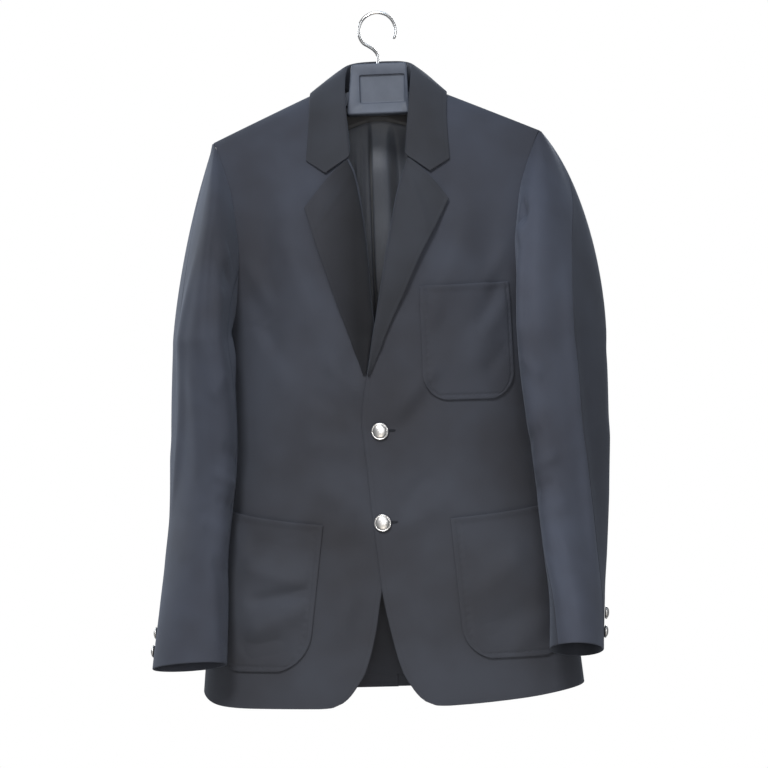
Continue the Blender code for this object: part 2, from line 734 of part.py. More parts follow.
def arm_sections(side):
    """Hanger arm: its top follows the shoulder just under the cloth, and widens outwards."""
    reach = np.linspace(0, 1, 12)[:, None]
    x = side * (ARM_ROOT + (ARM_TIP - ARM_ROOT) * reach)
    spread = 0.85 + 1.1 * ease(reach, 0.15, 1.0) - 0.5 * ease(reach, 0.93, 1.0)
    station = spread * np.linspace(-1, 1, 9)
    garment_x = x - GARMENT_X + 0 * station
    sunk = CLOTH + ARM_CLEAR + ARM_COLLAR_CLEAR * (1 - ease(np.abs(garment_x), 56, 92))
    top = on_body(garment_x, station, -sunk)
    top[..., 0] = x
    height = ARM_HEIGHT - 5 * reach
    foot = top[:, ::-1].copy()
    foot[..., 1] *= 0.86
    foot[..., 2] = top[:, 4:5, 2] - height - 3 * reach
    foot[..., 2] = np.minimum(foot[..., 2], top[:, ::-1, 2] - 3)
    return np.concatenate([top, foot[:, 1:-1]], 1)


def tube_faces(rows, columns):
    """Quads round a stack of rings, with a cap at each end."""
    index = np.arange(rows * columns).reshape(rows, columns)
    faces = [tuple(int(i) for i in index[0]), tuple(int(i) for i in index[-1])]
    for r in range(rows - 1):
        for c in range(columns):
            d = (c + 1) % columns
            faces.append(tuple(int(i) for i in (index[r, c], index[r, d],
                                                index[r + 1, d], index[r + 1, c])))
    return faces


def build_hanger(made):
    """Neck panel with a sunk face, and two arms joined to it."""
    outline = []
    for corner_x, corner_z, radius, start in (
            (PANEL_HALF_TOP, PANEL_TOP, 4, 0), (-PANEL_HALF_TOP, PANEL_TOP, 4, 90),
            (-PANEL_HALF_FOOT, PANEL_FOOT, 3, 180), (PANEL_HALF_FOOT, PANEL_FOOT, 3, 270)):
        for turn in (0, 45, 90):
            a = math.radians(start + turn)
            centre_x = corner_x - math.copysign(radius, corner_x)
            centre_z = corner_z - radius if corner_z == PANEL_TOP else corner_z + radius
            outline.append((centre_x + radius * math.cos(a), centre_z + radius * math.sin(a)))
    count = len(outline)
    points = [(x, y, z) for y in (PANEL_FRONT, PANEL_BACK) for x, z in outline]
    faces = [tuple(range(count)), tuple(range(count, 2 * count))]
    faces += [(k, (k + 1) % count, (k + 1) % count + count, k + count) for k in range(count)]
    hanger = mesh_object("hanger", points, faces, made, 0.0)
    work = bmesh.new()
    work.from_mesh(hanger.data)
    front = [f for f in work.faces if len(f.verts) == count and f.normal.y < 0]
    bmesh.ops.inset_individual(work, faces=front, thickness=PANEL_RIM * MM)
    bmesh.ops.inset_individual(work, faces=front, thickness=1.6 * MM, depth=-PANEL_SINK * MM)
    work.to_mesh(hanger.data)
    work.free()
    for side in (1, -1):
        sections = arm_sections(side)
        arm = mesh_object(f"arm_cutter_{side}", sections, tube_faces(*sections.shape[:2]),
                          made, 0.0)
        arm.hide_render = True
        arm.display_type = "WIRE"
        join = hanger.modifiers.new("join", "BOOLEAN")
        join.operation = "UNION"
        join.object = arm
    return hanger


def hook_path():
    """Centre line of the hook: a short shank, then a loop open on the wearer's left."""
    centre_z = -(HOOK_RADIUS - HOOK_WIRE)
    loop = [(HOOK_RADIUS * math.cos(a), centre_z + HOOK_RADIUS * math.sin(a))
            for a in np.radians(np.linspace(218, -28, 22))]
    shank = [(0.0, PANEL_TOP + 0.3), (0.0, PANEL_TOP + 6), (-0.8, PANEL_TOP + 11.5),
             (-4.5, PANEL_TOP + 16.5), (-10.5, PANEL_TOP + 20.8)]
    return np.array([(x, HOOK_Y, z) for x, z in shank + loop])


def build_hook(made):
    """Bent steel wire with a round tip."""
    path = hook_path()
    sides = 8
    way = np.gradient(path, axis=0)
    way /= np.linalg.norm(way, axis=-1, keepdims=True)
    across = np.cross(way, (0.0, 1.0, 0.0))
    angle = np.linspace(0, 2 * math.pi, sides, endpoint=False)
    radius = np.full(len(path), HOOK_WIRE)
    radius[-1] *= 0.7
    rings = (path[:, None, :]
             + across[:, None, :] * (np.cos(angle)[:, None] * radius[:, None, None])
             + np.array((0.0, 1.0, 0.0)) * (np.sin(angle)[:, None] * radius[:, None, None]))
    return mesh_object("hook", rings, tube_faces(len(path), sides), made, 0.0)


def main():
    for item in list(bpy.data.objects):
        bpy.data.objects.remove(item, do_unlink=True)
    navy = material("navy_cloth", NAVY, 0.85)
    satin = material("satin_lining", SATIN_GREY, 0.45)
    metal = material("silver_metal", SILVER, 0.25, 1.0)
    plastic = material("hanger_plastic", HANGER_GREY, 0.5)
    build_front(1, "front_left", navy)
    build_front(-1, "front_right", navy)
    build_back(1, "back_left", navy)
    build_back(-1, "back_right", navy)
    build_lining("lining_back", satin)
    build_collar("collar", navy)
    build_lapel(1, "lapel_left", navy)
    build_lapel(-1, "lapel_right", navy)
    for side, table, label in ((1, SLEEVE_LEFT, "left"), (-1, SLEEVE_RIGHT, "right")):
        build_sleeve(side, table, f"sleeve_top_{label}", "top", navy)
        build_sleeve(side, table, f"sleeve_under_{label}", "under", navy)
        build_cuff_buttons(side, table, label, metal)
    build_pocket(1, BREAST_POCKET, "pocket_breast", navy)
    build_pocket(1, POCKET_LEFT, "pocket_left", navy)
    build_pocket(-1, POCKET_RIGHT, "pocket_right", navy)
    build_front_buttons(metal)
    build_hanger(plastic)
    build_hook(metal)


main()
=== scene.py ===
"""School blazer on a moulded hanger, dressed over its solids.

Metres at the end, millimetres in the tables. The front faces -Y, +X is the wearer's left and
the origin is the inner top of the hanger's hook. The garment's centre line is at GARMENT_X.

Each cloth piece is a thin shell. Its middle is a surface of two parameters, and its two faces
close in a rounded rim, so that a free edge looks turned and two edges that meet make a seam.
"""
import math

import bpy
import numpy as np
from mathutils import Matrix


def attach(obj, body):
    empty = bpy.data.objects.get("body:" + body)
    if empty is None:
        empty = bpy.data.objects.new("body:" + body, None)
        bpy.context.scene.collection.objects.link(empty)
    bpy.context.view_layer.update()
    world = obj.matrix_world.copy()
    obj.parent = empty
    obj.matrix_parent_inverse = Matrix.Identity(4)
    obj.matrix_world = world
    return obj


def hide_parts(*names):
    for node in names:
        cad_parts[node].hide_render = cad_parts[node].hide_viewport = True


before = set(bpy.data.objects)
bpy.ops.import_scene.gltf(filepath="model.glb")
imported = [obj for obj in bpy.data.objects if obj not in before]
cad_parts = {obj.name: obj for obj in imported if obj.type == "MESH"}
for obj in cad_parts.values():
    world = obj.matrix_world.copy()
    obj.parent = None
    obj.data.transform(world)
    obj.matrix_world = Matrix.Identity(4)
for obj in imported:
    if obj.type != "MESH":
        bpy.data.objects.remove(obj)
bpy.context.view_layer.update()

# Camera: the photograph's place, turn and lens
TARGET = (-0.005, 0.0, -0.421)
DISTANCE = 2.6
AZIMUTH = 4.0
ROLL = 1.8
HALF_VIEW = 9.56

# Lights: name, place in metres, width, power in watts, colour
LIGHTS = (
    ("key", (-0.38, -2.2, 1.35), 0.8, 58.0, (0.98, 0.99, 1.0)),
    ("front", (0.17, -2.7, -0.34), 0.3, 14.5, (1.0, 0.99, 0.98)),
    ("right", (0.8, -2.7, 0.3), 0.9, 10.0, (0.96, 0.975, 1.0)),
    ("rim", (-1.9, 1.3, 0.5), 1.2, 30.0, (0.88, 0.94, 1.0)),
    ("top", (0.1, -0.2, 1.9), 1.6, 11.0, (0.62, 0.80, 1.0)),
    ("ground", (0.1, -1.9, -1.9), 1.4, 11.0, (1.0, 0.92, 0.81)),
    ("back", (0.5, 2.5, 0.6), 1.2, 36.0, (0.94, 0.97, 1.0)),
)

MM = 0.001
CLOTH = 2.0
FACING = 1.6
PATCH = 1.6
NO_STITCH = 900.0
RIM_STEPS = 4
HALVINGS = 26
COLLAR_WALL = 1.8
SATIN = 1.0
SEAM = 0.3
LIE = 0.7
POCKET_STAND = 0.8
UNDERLAP = 4.2
VENT_LAP = 22.0
VENT_TOP = -560.0
VENT_GAP = 1.2
VENT_START = (8, -2)
VENT_LIFT = (90, 45)
VENT_SIDE = (12, 42)
RING_POWER = 2.3
GARMENT_X = -5.0
NECK_X = 5.0
HEM_RISE = 13.0
HEM_RISE_POWER = (2.2, 20.0)
UNDERARM = 8.0
SAG_SOFTNESS = 0.08

# Grids of the cloth pieces: number of rows and the share of the length that a rounded rim
# takes up at each end, then the same of the columns
GRIDS = {
    "front": ((150, 0.0022), (70, 0.011)), "back": ((140, 0.0022), (66, 0.011)),
    "lapel": ((110, 0.006), (44, 0.02)), "sleeve": ((150, 0.0024), (60, 0.012)),
    "pocket": ((90, 0.008), (70, 0.011)), "lining": ((140, 0.002), (240, 0.002)),
}

# Right front, sunk where the left laps over it: from x to x, and levels from and to
LAP_X = (-52, -24)
LAP_TOP = (-320, -372)
LAP_FOOT = (-690, -760)

# Facing inside a front: width, its wave and the wave's run; then the lining's other edges
FACING_WIDTH = 72
FACING_WAVE = 14
FACING_RUN = 90
BACK_FACING = 30
LINED_TO = -752
SLEEVE_LINED_TO = 0.35

# Body: level of the ring at the centre, sag at the side, half width, front depth, back depth
TORSO = np.array((
    (-65, 86, 212, 0, 0),
    (-66, 86, 214, 13, 13),
    (-74, 84, 214, 25, 26),
    (-92, 80, 212, 37, 40),
    (-122, 71, 208, 50, 55),
    (-170, 55, 204, 64, 70),
    (-228, 36, 198, 76, 82),
    (-290, 15, 188, 85, 87),
    (-350, 4, 173, 88, 87),
    (-420, 0, 171, 88, 84),
    (-490, 0, 172, 87, 82),
    (-560, 0, 181, 88, 84),
    (-640, 0, 197, 89, 87),
    (-710, 0, 210, 90, 89),
    (-778, 0, 217, 91, 90),
), dtype=float)
HEM = len(TORSO) - 1
ROWS = np.arange(len(TORSO))

# Rows of the pieces: shares of the grid, and the stations, shares or levels that they lie at
FRONT_RUN = ((0, 0.07, 0.5, 0.92, 1), (0, 1.6, 7.2, 13.2, HEM))
BACK_RUN = ((0, 0.2, 0.6, 1), (0, 0.14, 0.55, 1))
SLEEVE_RUN = ((0, 0.3, 1), (0, 1, 8))
LINING_RUN = ((0, 0.16, 1), (-98, -130, -762))

# Steps of the angle and the station between the points that a normal is taken from
NORMAL_STEP = (0.004, 0.02)

# Large folds, as in the solids: x at the top and at the foot, z of both, half width, height
# out of the cloth, and 1 for the front or -1 for the back
FOLDS = np.array((
    (130, 124, -180, -410, 17, -3.4, 1),
    (103, 95, -200, -350, 19, 2.2, 1),
    (-128, -120, -175, -430, 17, -3.8, 1),
    (-100, -86, -195, -370, 19, 2.4, 1),
    (-58, -98, -400, -575, 23, 2.4, 1),
    (66, 112, -430, -570, 23, 1.9, 1),
    (150, 172, -590, -880, 25, 2.8, 1),
    (-148, -174, -600, -880, 25, 3.0, 1),
    (112, 98, -150, -540, 20, -4.2, -1),
    (-114, -96, -145, -520, 20, -4.0, -1),
    (58, 50, -520, -880, 27, 3.2, -1),
    (-72, -80, -540, -880, 28, 3.4, -1),
    (134, 148, -560, -880, 26, -2.8, -1),
    (-140, -150, -560, -880, 26, -2.6, -1),
), dtype=float)

# Fine creases: x of one end and of the other, z of both, half width, height, front or back
CREASES = np.array((
    (10, 74, -462, -392, 9, 3.0, 1),
    (14, 66, -480, -426, 8, -2.4, 1),
    (-12, -64, -440, -388, 9, 3.2, 1),
    (-18, -84, -462, -424, 9, -2.6, 1),
    (-24, -92, -492, -484, 10, 2.0, 1),
    (14, 66, -562, -514, 9, -2.2, 1),
    (12, 76, -584, -550, 10, 2.4, 1),
    (-20, -76, -570, -528, 9, 2.2, 1),
    (-16, -62, -596, -602, 11, -2.0, 1),
    (90, 26, -222, -360, 14, -4.6, 1),
    (108, 50, -226, -372, 15, 2.6, 1),
    (-86, -32, -228, -380, 14, -3.8, 1),
    (-104, -56, -232, -388, 15, 2.4, 1),
    (6, 28, -372, -430, 9, -2.2, 1),
    (-8, -34, -352, -416, 9, -2.0, 1),
    (152, 110, -262, -332, 9, 2.8, 1),
    (-152, -112, -268, -345, 9, 3.0, 1),
    (146, 104, -292, -372, 10, -2.4, 1),
    (-150, -108, -300, -392, 10, -2.6, 1),
    (142, 92, -330, -420, 12, 1.9, 1),
    (-144, -92, -350, -440, 12, 2.0, 1),
    (30, 62, -630, -716, 14, 2.6, 1),
    (-30, -56, -632, -712, 14, 2.6, 1),
    (86, 76, -150, -250, 12, -1.5, 1),
    (-90, -84, -150, -240, 12, -1.5, 1),
    (150, 96, -120, -150, 12, -1.6, 1),
    (-150, -96, -122, -152, 12, -1.6, 1),
    (34, 38, -130, -300, 18, 2.0, -1),
    (-40, -30, -120, -330, 18, 2.2, -1),
    (90, 20, -108, -118, 8, 1.6, -1),
    (-88, -18, -112, -120, 8, -1.6, -1),
    (126, 60, -462, -500, 14, 2.4, -1),
    (-128, -58, -455, -492, 14, 2.4, -1),
    (144, 90, -434, -455, 12, -2.4, -1),
    (-142, -84, -430, -452, 12, -2.4, -1),
    (130, 78, -520, -566, 14, 2.0, -1),
    (-132, -80, -526, -560, 14, -2.0, -1),
), dtype=float)
FOLD_FADE = 70.0
CREASE_BOW = 0.1
CREASE_FADE = 0.28
RIDGE_CLEAR = (0.4, 1.8)

# Armhole: station, share of the half width that the front keeps, and the back
ARMHOLE = np.array((
    (0.0, 0.882, 0.882),
    (1.0, 0.870, 0.876),
    (2.0, 0.855, 0.868),
    (3.0, 0.840, 0.861),
    (4.0, 0.820, 0.855),
    (5.0, 0.792, 0.852),
    (6.0, 0.788, 0.862),
    (7.0, 0.838, 0.905),
    (7.6, 0.915, 0.955),
    (8.0, 1.0, 1.0),
))

# Front edges: level, x of the wearer's left front, x of the wearer's right front
FRONT_EDGES = np.array((
    (-65, 52, -42),
    (-92, 49.5, -39.5),
    (-125, 45, -35),
    (-158, 39.5, -29.5),
    (-180, 33, -21),
    (-208, 25, -15.5),
    (-240, 19, -11),
    (-285, 10.5, -7),
    (-326, 3, -5),
    (-364, -4, -1),
    (-400, -10, 5),
    (-430, -16, 12),
    (-460, -20, 18),
    (-500, -17, 18),
    (-560, -12, 16),
    (-610, -7, 8),
    (-650, -3, -3.5),
    (-697, 6, -12),
    (-738, 17, -24),
    (-756, 27, -35),
    (-767, 35.5, -44),
    (-774, 45, -54),
    (-777.2, 55, -64),
    (-778, 68, -77),
), dtype=float)

# Back neck: share of the back's width there, station of the top edge
BACK_NECK = np.array(((0.0, 2.9), (0.1, 2.7), (0.19, 1.7), (0.26, 0.0), (1.0, 0.0)))

# Lapel outer edges: share of the way down, x and z on the wearer's left, x and z on the right
LAPELS = np.array((
    (0.0, 83, -219, -77, -224),
    (0.3, 48, -282, -62, -268),
    (0.6, 22, -340, -47, -317),
    (0.85, -1, -392, -27, -380),
    (1.0, -9, -412, -17, -411),
), dtype=float)
LAPEL_TOP_Z = -170.5
LAPEL_FOOT_Z = (-409.0, -407.0)
LAPEL_TOP_BOW = 3.5
LAPEL_RISE = 8.0
LAPEL_TUCK = 1.5
LAPEL_LIE = 0.9
LAPEL_ROLL = 10.472
LAPEL_STAND = 7.0
LAPEL_LENGTH = 240

# Lapel's wave: height, radians down its length, start; and its crease: height, how far down it
# starts in mm, how much lower it ends, half width
LAPEL_WAVE = (0.6, 5.2, 1.4)
LAPEL_CREASE = (1.7, 15, 30, 7)

# Collar, from the centre back to the front end: x, y, z of the fold, then x and station of
# the fall's edge, then x and station of the stand's foot and how far it lies inside the body
COLLAR = np.array((
    (0, 34, -46, 0, -3.3, 0, -3.05, 6.5),
    (17, 32, -46.5, 34, -3.05, 17, -2.9, 6.0),
    (29, 22, -50, 60, -2.2, 34, -2.1, 5.0),
    (36, 5, -57, 74, -0.5, 46, -0.6, 3.6),
    (37, -16, -72, 77, 1.5, 45, 1.2, 3.6),
    (36, -38, -98, 77, 3.0, 41, 2.7, 3.6),
    (34, -54, -133, 78, 3.9, 35.5, 3.8, 3.6),
    (31.5, -64, -167, 80, 4.62, 32, 4.6, 3.6),
), dtype=float)
COLLAR_ROWS = (150, 0.004)
COLLAR_LIE = 1.2
COLLAR_BOW = 17.0
COLLAR_BOW_FROM = 5.4
COLLAR_BULGE = 2.6
NOTCH_SHARE = 0.54

# Columns across the collar: -1 is the stand's foot, 0 the fold and 1 the fall's edge. Each part
# has its first, its last, how many, and whether the last is kept; then come those of the rim
COLLAR_LINE = ((-1, -0.02, 16, True), (0.02, 0.5, 13, False), (0.5, 0.58, 7, False),
               (0.58, 0.97, 12, True))
COLLAR_RIM = (0.98, 0.988, 0.994, 0.998, 1.0)
COLLAR_RELAX = 6

# Sleeves from the armpit to the cuff: z, x, y, half length, half thickness of the oval,
# turn of its long axis from +X, slope of the ring from front to back, angle of the hind seam
SLEEVE_LEFT = np.array((
    (-366, 204, -40, 77, 31, 57, 0.00, 20),
    (-412, 206, -36, 74, 30, 55, 0.00, 17),
    (-470, 208.5, -32, 70, 29, 56, 0.02, 18),
    (-518, 210.5, -28, 67, 28, 59, 0.05, 16),
    (-560, 211, -32, 64, 27.5, 61, 0.09, 12),
    (-613, 211, -52, 60, 27, 66, 0.14, 5),
    (-660, 211, -75, 56, 27.5, 76, 0.20, 2),
    (-717, 208.5, -99, 51, 28.5, 86, 0.26, 0),
), dtype=float)
SLEEVE_RIGHT = np.array((
    (-366, 200.5, -46, 77, 31, 75, 0.00, 22),
    (-412, 202, -41, 74, 30, 67, 0.00, 10),
    (-470, 204, -35, 70.5, 29.5, 61, 0.02, -4),
    (-518, 206.5, -32, 67, 28.5, 59, 0.05, -17),
    (-560, 210, -34, 63.5, 28, 60, 0.09, -29),
    (-613, 214.5, -49, 58.7, 27.5, 57, 0.14, -42),
    (-660, 216.5, -63, 53.5, 28, 48, 0.20, -52),
    (-729, 221, -80, 49, 28, 34, 0.26, -62),
), dtype=float)
SLEEVE_HEAD_SEAM = ((0.0, 0.3, 0.6), (-58.0, -9.0, 15.0))
SLEEVE_FRONT_SEAM = ((0.0, 0.6, 1.5, 8.0), (152.0, 138.0, 128.0, 126.0))
SEAM_DEGREES = 0.12
CAP_REACH = 0.34
CAP_TRIM = (0.0, 0.34)
CAP_LEAN = (0.03, 0.10)
CAP_START = 0.5
CAP_OUT = (0.35, 0.2, 0.28, 0.2)
CAP_BACK = (0.25, 0.8)
CAP_DOWN = (0.5, 0.25)
CAP_RISE = 0.95

# Sleeve creases: angle round and run down the sleeve in mm of one end, of the other, half
# width, height, and 1 or -1 where only the wearer's left or right sleeve has it
SLEEVE_CREASES = np.array((
    (58, 285, 104, 252, 9, 2.2, 0),
    (66, 330, 132, 352, 10, -2.3, 0),
    (48, 360, 122, 384, 9, 2.5, 0),
    (58, 400, 132, 414, 10, -2.7, 0),
    (38, 425, 120, 444, 10, 2.3, 0),
    (62, 470, 118, 486, 11, -1.9, 0),
    (210, 390, 300, 415, 12, -1.9, 0),
    (190, 425, 280, 435, 12, 1.9, 0),
    (215, 345, 300, 372, 12, 2.2, 0),
    (220, 300, 290, 322, 13, -2.0, 0),
    (30, 225, 34, 400, 13, 1.8, 0),
    (84, 455, 92, 590, 14, -2.3, 0),
    (-60, 225, -50, 345, 14, -1.9, 0),
    (86, 60, 80, 250, 12, -2.8, 0),
    (104, 96, 98, 270, 10, 2.4, 0),
    (112, 42, 92, 92, 5.5, -8.0, 1),
    (116, 62, 94, 120, 6, 4.4, 1),
    (118, 96, 98, 150, 9, -2.0, -1),
    (112, 70, 94, 112, 9, 1.6, -1),
    (120, 236, 215, 240, 26, 3.6, -1),
    (26, 110, 12, 545, 8, 3.6, 1),
    (46, 100, -30, 430, 8, 3.0, -1),
))
CAP_RUN = 225.0
ROW_RUN = 50.0
HEAD_FLAT = (0.02, 0.16)
CUFF_FLAT = (7.6, 8.0)
CREASE_TURN = 7.0
CREASE_DROP = 1.5
CREASE_ARC = 0.9

# Light and shade painted into a cloth's colour along an axis: axis, where it starts and ends
# in metres, and how much of its red, green and blue is gone at the end
# Painted light: the body's navy grows warmer and less blue towards the hem, as under a bluish light above
# and a warm one below
PAINTED_LIGHT_BODY = (2, -0.08, -0.62, (-0.08, -0.03, 0.07))
# Painted shade: the lit copy of the navy on the wearer's left top sleeve darkens again up towards the
# sleeve head
PAINTED_SHADE_SLEEVE_LEFT = (2, -0.31, -0.15, (0.26, 0.26, 0.24))
# Painted light and shade: the wearer's right sleeve is lighter at its outer edge and darkens towards the
# body
PAINTED_SHADE_SLEEVE_RIGHT = (0, -0.222, -0.176, (0.24, 0.24, 0.24))
# Painted shade: the wearer's right lapel darkens towards its roll line
PAINTED_SHADE_FACING = (0, -0.066, -0.026, (0.66, 0.66, 0.66))

# Patch pockets: top z at the inner and outer end, foot z, inner x at the top and the foot,
# outer share of the half width, corner radius, belly
BREAST_POCKET = dict(top_in=-315, top_out=-311, foot=-441, in_top=48, in_foot=49,
                     out_top=146, out_foot=148, corner=30, belly=2.5)
POCKET_LEFT = dict(top_in=-571, top_out=-561, foot=-727, in_top=74, in_foot=86,
                   out_top=0.955, out_foot=0.955, corner=36, belly=4.5)
POCKET_RIGHT = dict(top_in=-575, top_out=-558, foot=-737, in_top=66, in_foot=88,
                    out_top=0.955, out_foot=0.955, corner=42, belly=4.5)
POCKET_BELLY = (0.92, 0.25)
POCKET_GROOVE = 0.75
GROOVE_WIDTH = 1.5
POCKET_MOUTH = 1.5
MOUTH_FADE = (1.0, 9.0)
POCKET_LIFT = 0.35
STITCH_INSET = 5.5
STITCH_PUCKER = (0.4, 8.5)
POCKET_WIDE = (125, 110)

# Pocket creases: over and down of one end, of the other, half width in mm, height
POCKET_CREASES = {
    "pocket_breast": ((0.48, 0.52, 1.0, 0.10, 12, 2.0), (0.55, 0.80, 0.98, 0.50, 11, -1.9),
                      (0.10, 0.30, 0.50, 0.42, 14, -1.2)),
    "pocket_left": ((0.08, 0.60, 0.60, 0.22, 14, 2.6), (0.04, 0.84, 0.62, 0.62, 13, -2.2),
                    (0.30, 0.95, 0.80, 0.70, 13, 1.8)),
    "pocket_right": ((0.00, 0.41, 0.68, 0.30, 12, 4.2), (-0.04, 0.44, 0.56, 0.56, 8, -4.4),
                     (-0.04, 0.53, 0.54, 0.78, 12, 4.2), (0.10, 0.80, 0.62, 0.86, 11, -2.8),
                     (0.06, 0.13, 0.68, 0.20, 13, -2.4)),
}

# Buttons: the rim's profile in shares of radius and height, the crown's width, foot and rise,
# and the dimple that each front one draws in the cloth, by x, spread over and down
BUTTON_RIM = ((0.80, 0.0), (0.93, 0.10), (0.985, 0.24), (1.0, 0.36), (0.985, 0.48), (0.94, 0.56),
              (0.89, 0.57), (0.855, 0.53), (0.83, 0.52))
BUTTON_CROWN = (0.81, 0.53, 0.47)
BUTTON_RADIUS = 9.5
BUTTON_DOME = 5.5
BUTTON_SIDES = 72
BUTTON_STAND = 0.2
BUTTON_HEIGHTS = (-473.0, -574.0)
PULL = (3, 13, 8)
BUTTONHOLE_PLACE = 5.5
BUTTONHOLE_HALF = 11.0
BUTTONHOLE_OPEN = 0.8
BUTTONHOLE_SLOPE = 0.04
BUTTONHOLE_STAND = 0.25
BUTTONHOLE_SIDES = (240, 8)
THREAD_RADIUS = (0.75, 0.16)
CUFF_BUTTON_RADIUS = 7.0
CUFF_BUTTON_DOME = 4.5
CUFF_BUTTON_SIDES = 48
CUFF_BUTTON_STAND = 0.5
CUFF_BUTTON_RISE = (20.0, 39.0)
CUFF_BUTTON_ANGLE = (-22.0, -74.0)

LINING_REACH = 0.93
LINING_FOLDS = 6
LINING_GAP = 3.6
LINING_FOLD_DEPTH = 2.6
LINING_FLAT = (104, 168)
PIPING = (1.3, 1.4)
NECK_FACING_FOOT = -112.0
VENT_FACING = (4, 74, -580)

# Small ripple of the lining: height, how much finer than the folds, start, mm of its slant
LINING_RIPPLE = (1.1, 2.37, 1.3, 260)

# Lining folds that show in the neck, from WAVE_TOP down and fading out over WAVE_FADE: x at the
# top and the foot, half width, height, last z
WAVE_TOP = -100
WAVE_FADE = 160
LINING_WAVES = np.array((
    (-21, -24, 2.6, 3.5, -330),
    (-28, -27, 3.0, 4.5, -420),
    (-36, -37, 3.6, 4.0, -430),
    (33, 24, 5.0, 6, -300),
    (42, 40, 9.0, 6, -600),
    (-48, -52, 9.0, 8, -620),
    (-76, -84, 11.0, 8, -700),
    (74, 80, 11.0, 8, -700),
    (112, 120, 12.0, 7, -740),
    (-112, -122, 12.0, 7, -740),
))

# Ease pleat down the middle of the lining: x of its fold, width of its top, depth, last z
PLEAT_EDGE = -14.0
PLEAT_TURN = 5.0
PLEAT_TOP = 9.0
PLEAT_FADE = 22.0
PLEAT_DEPTH = 22.0
PLEAT_FOOT = -560.0
PLEAT_RUN_OUT = 260

# Hanger and hook
PANEL_TOP = -57.0
PANEL_FOOT = -115.0
PANEL_HALF_TOP = 31.5
PANEL_HALF_FOOT = 35.8
PANEL_LEAN = (1.5, -1.0)
RECESS_SHIFT = 4.5
RECESS_HALF = (26.5, 17.0)
PANEL_FOOT_SWELL = 3.0
PANEL_SWELL_FROM = -12.0
ARM_TIP = 170.0
ARM_ROOT = 20.0
ARM_CLEAR = 1.9
ARM_COLLAR_CLEAR = 12.0
ARM_HEIGHT = 15.0
ARM_COLLAR = (56, 92)
ARM_SPREAD = (0.85, 1.1, 0.5)
ARM_FOOT_WIDTH = 0.86
ARM_TAPER = 2
ARM_EDGE = 3
HOOK_WIRE = 1.8
HOOK_RADIUS = 21.0
HOOK_Y = -5.0
HOOK_SHANK = ((0.0, -1.5), (0.0, 6), (-0.8, 11.5), (-4.5, 16.5), (-10.5, 20.8))

# Rings of the hanger's panel from back to front: y, share of the half height that it's drawn
# in by, and 1 in the recess
PANEL_STEPS = (
    (3.0, 0.7, 0), (3.0, 0.045, 0), (2.4, 0.015, 0), (1.4, 0, 0), (-12.8, 0, 0),
    (-14.1, 0.015, 0), (-14.8, 0.045, 0), (-15.0, 0.07, 0), (-14.4, 0, 1), (-14.1, 0.02, 1),
    (-13.1, 0.035, 1), (-11.6, 0.045, 1), (-11.0, 0.07, 1), (-10.9, 0.11, 1), (-10.9, 0.4, 1),
)


def hermite(xs, ys, slope, x):
    """Cubic between knots that has the given slope at each of them."""
    i = np.clip(np.searchsorted(xs, x) - 1, 0, len(xs) - 2)
    step = xs[i + 1] - xs[i]
    t = (x - xs[i]) / step
    return (ys[i] * (1 + 2 * t) * (1 - t) ** 2 + slope[i] * step * t * (1 - t) ** 2
            + ys[i + 1] * t * t * (3 - 2 * t) + slope[i + 1] * step * t * t * (t - 1))


def smooth(xs, ys, x):
    """Value at x of a curve through the points that never overshoots between them: the slope
    at a knot is the harmonic mean of the rises beside it, or 0 where they differ in sign."""
    xs, ys = np.asarray(xs, float), np.asarray(ys, float)
    if xs[0] > xs[-1]:
        xs, ys = xs[::-1], ys[::-1]
    rise = np.diff(ys) / np.diff(xs)
    product, total = rise[:-1] * rise[1:], rise[:-1] + rise[1:]
    mean = np.where(product > 0, 2 * product / np.where(total == 0, 1, total), 0)
    slope = np.concatenate([rise[:1], mean, rise[-1:]])
    return hermite(xs, ys, slope, np.clip(np.asarray(x, float), xs[0], xs[-1]))


def columns_at(table, row):
    """Every column of a table at a row, smoothly between its rows."""
    return [smooth(np.arange(len(table)), column, row) for column in table.T]


def pick(pair, side):
    """First of a pair for the wearer's left, side 1, second for the right, side -1."""
    return pair[0] if side > 0 else pair[1]


def between(first, last, share):
    """Value at a share of the way from the first to the last."""
    return first + (last - first) * share


def side_of(station):
    """1 for the front of the garment and its wearer's left, -1 for the back and the right."""
    return np.where(station >= 0, 1.0, -1.0)


def unit(ways):
    """Vectors scaled to a length of 1."""
    return ways / np.linalg.norm(ways, axis=-1, keepdims=True)


def ease(x, low, high):
    """0 at low, 1 at high, with a smooth rise between."""
    t = np.clip((np.asarray(x, float) - low) / (high - low), 0, 1)
    return t * t * (3 - 2 * t)


def power(value, exponent):
    """Signed power, so that a rounded oblong runs on past its corners."""
    return np.sign(value) * np.abs(value) ** exponent


def ring(station):
    """Level, sag, half width, front depth and back depth at a station, front or back."""
    return columns_at(TORSO, np.abs(station))


def station_of(level):
    """Station whose ring has this level at the centre."""
    return smooth(TORSO[:, 0], ROWS, level)


def ridge(along, across, length, width, height):
    """Bell-shaped ridge across a line, fading over a share of the length at each end."""
    fade = ease(along, 0, CREASE_FADE * length) * ease(length - along, 0, CREASE_FADE * length)
    return height * np.exp(-(across / width) ** 2) * fade


def crease(over, down, way_over, way_down, bow, width, height):
    """Ridge along a line from the origin to (way_over, way_down), bowed by a share of its length."""
    length = math.hypot(way_over, way_down)
    along = (over * way_over + down * way_down) / length
    across = (down * way_over - over * way_down) / length
    return ridge(along, across + bow * length * (along / length - 0.5) ** 2, length, width, height)


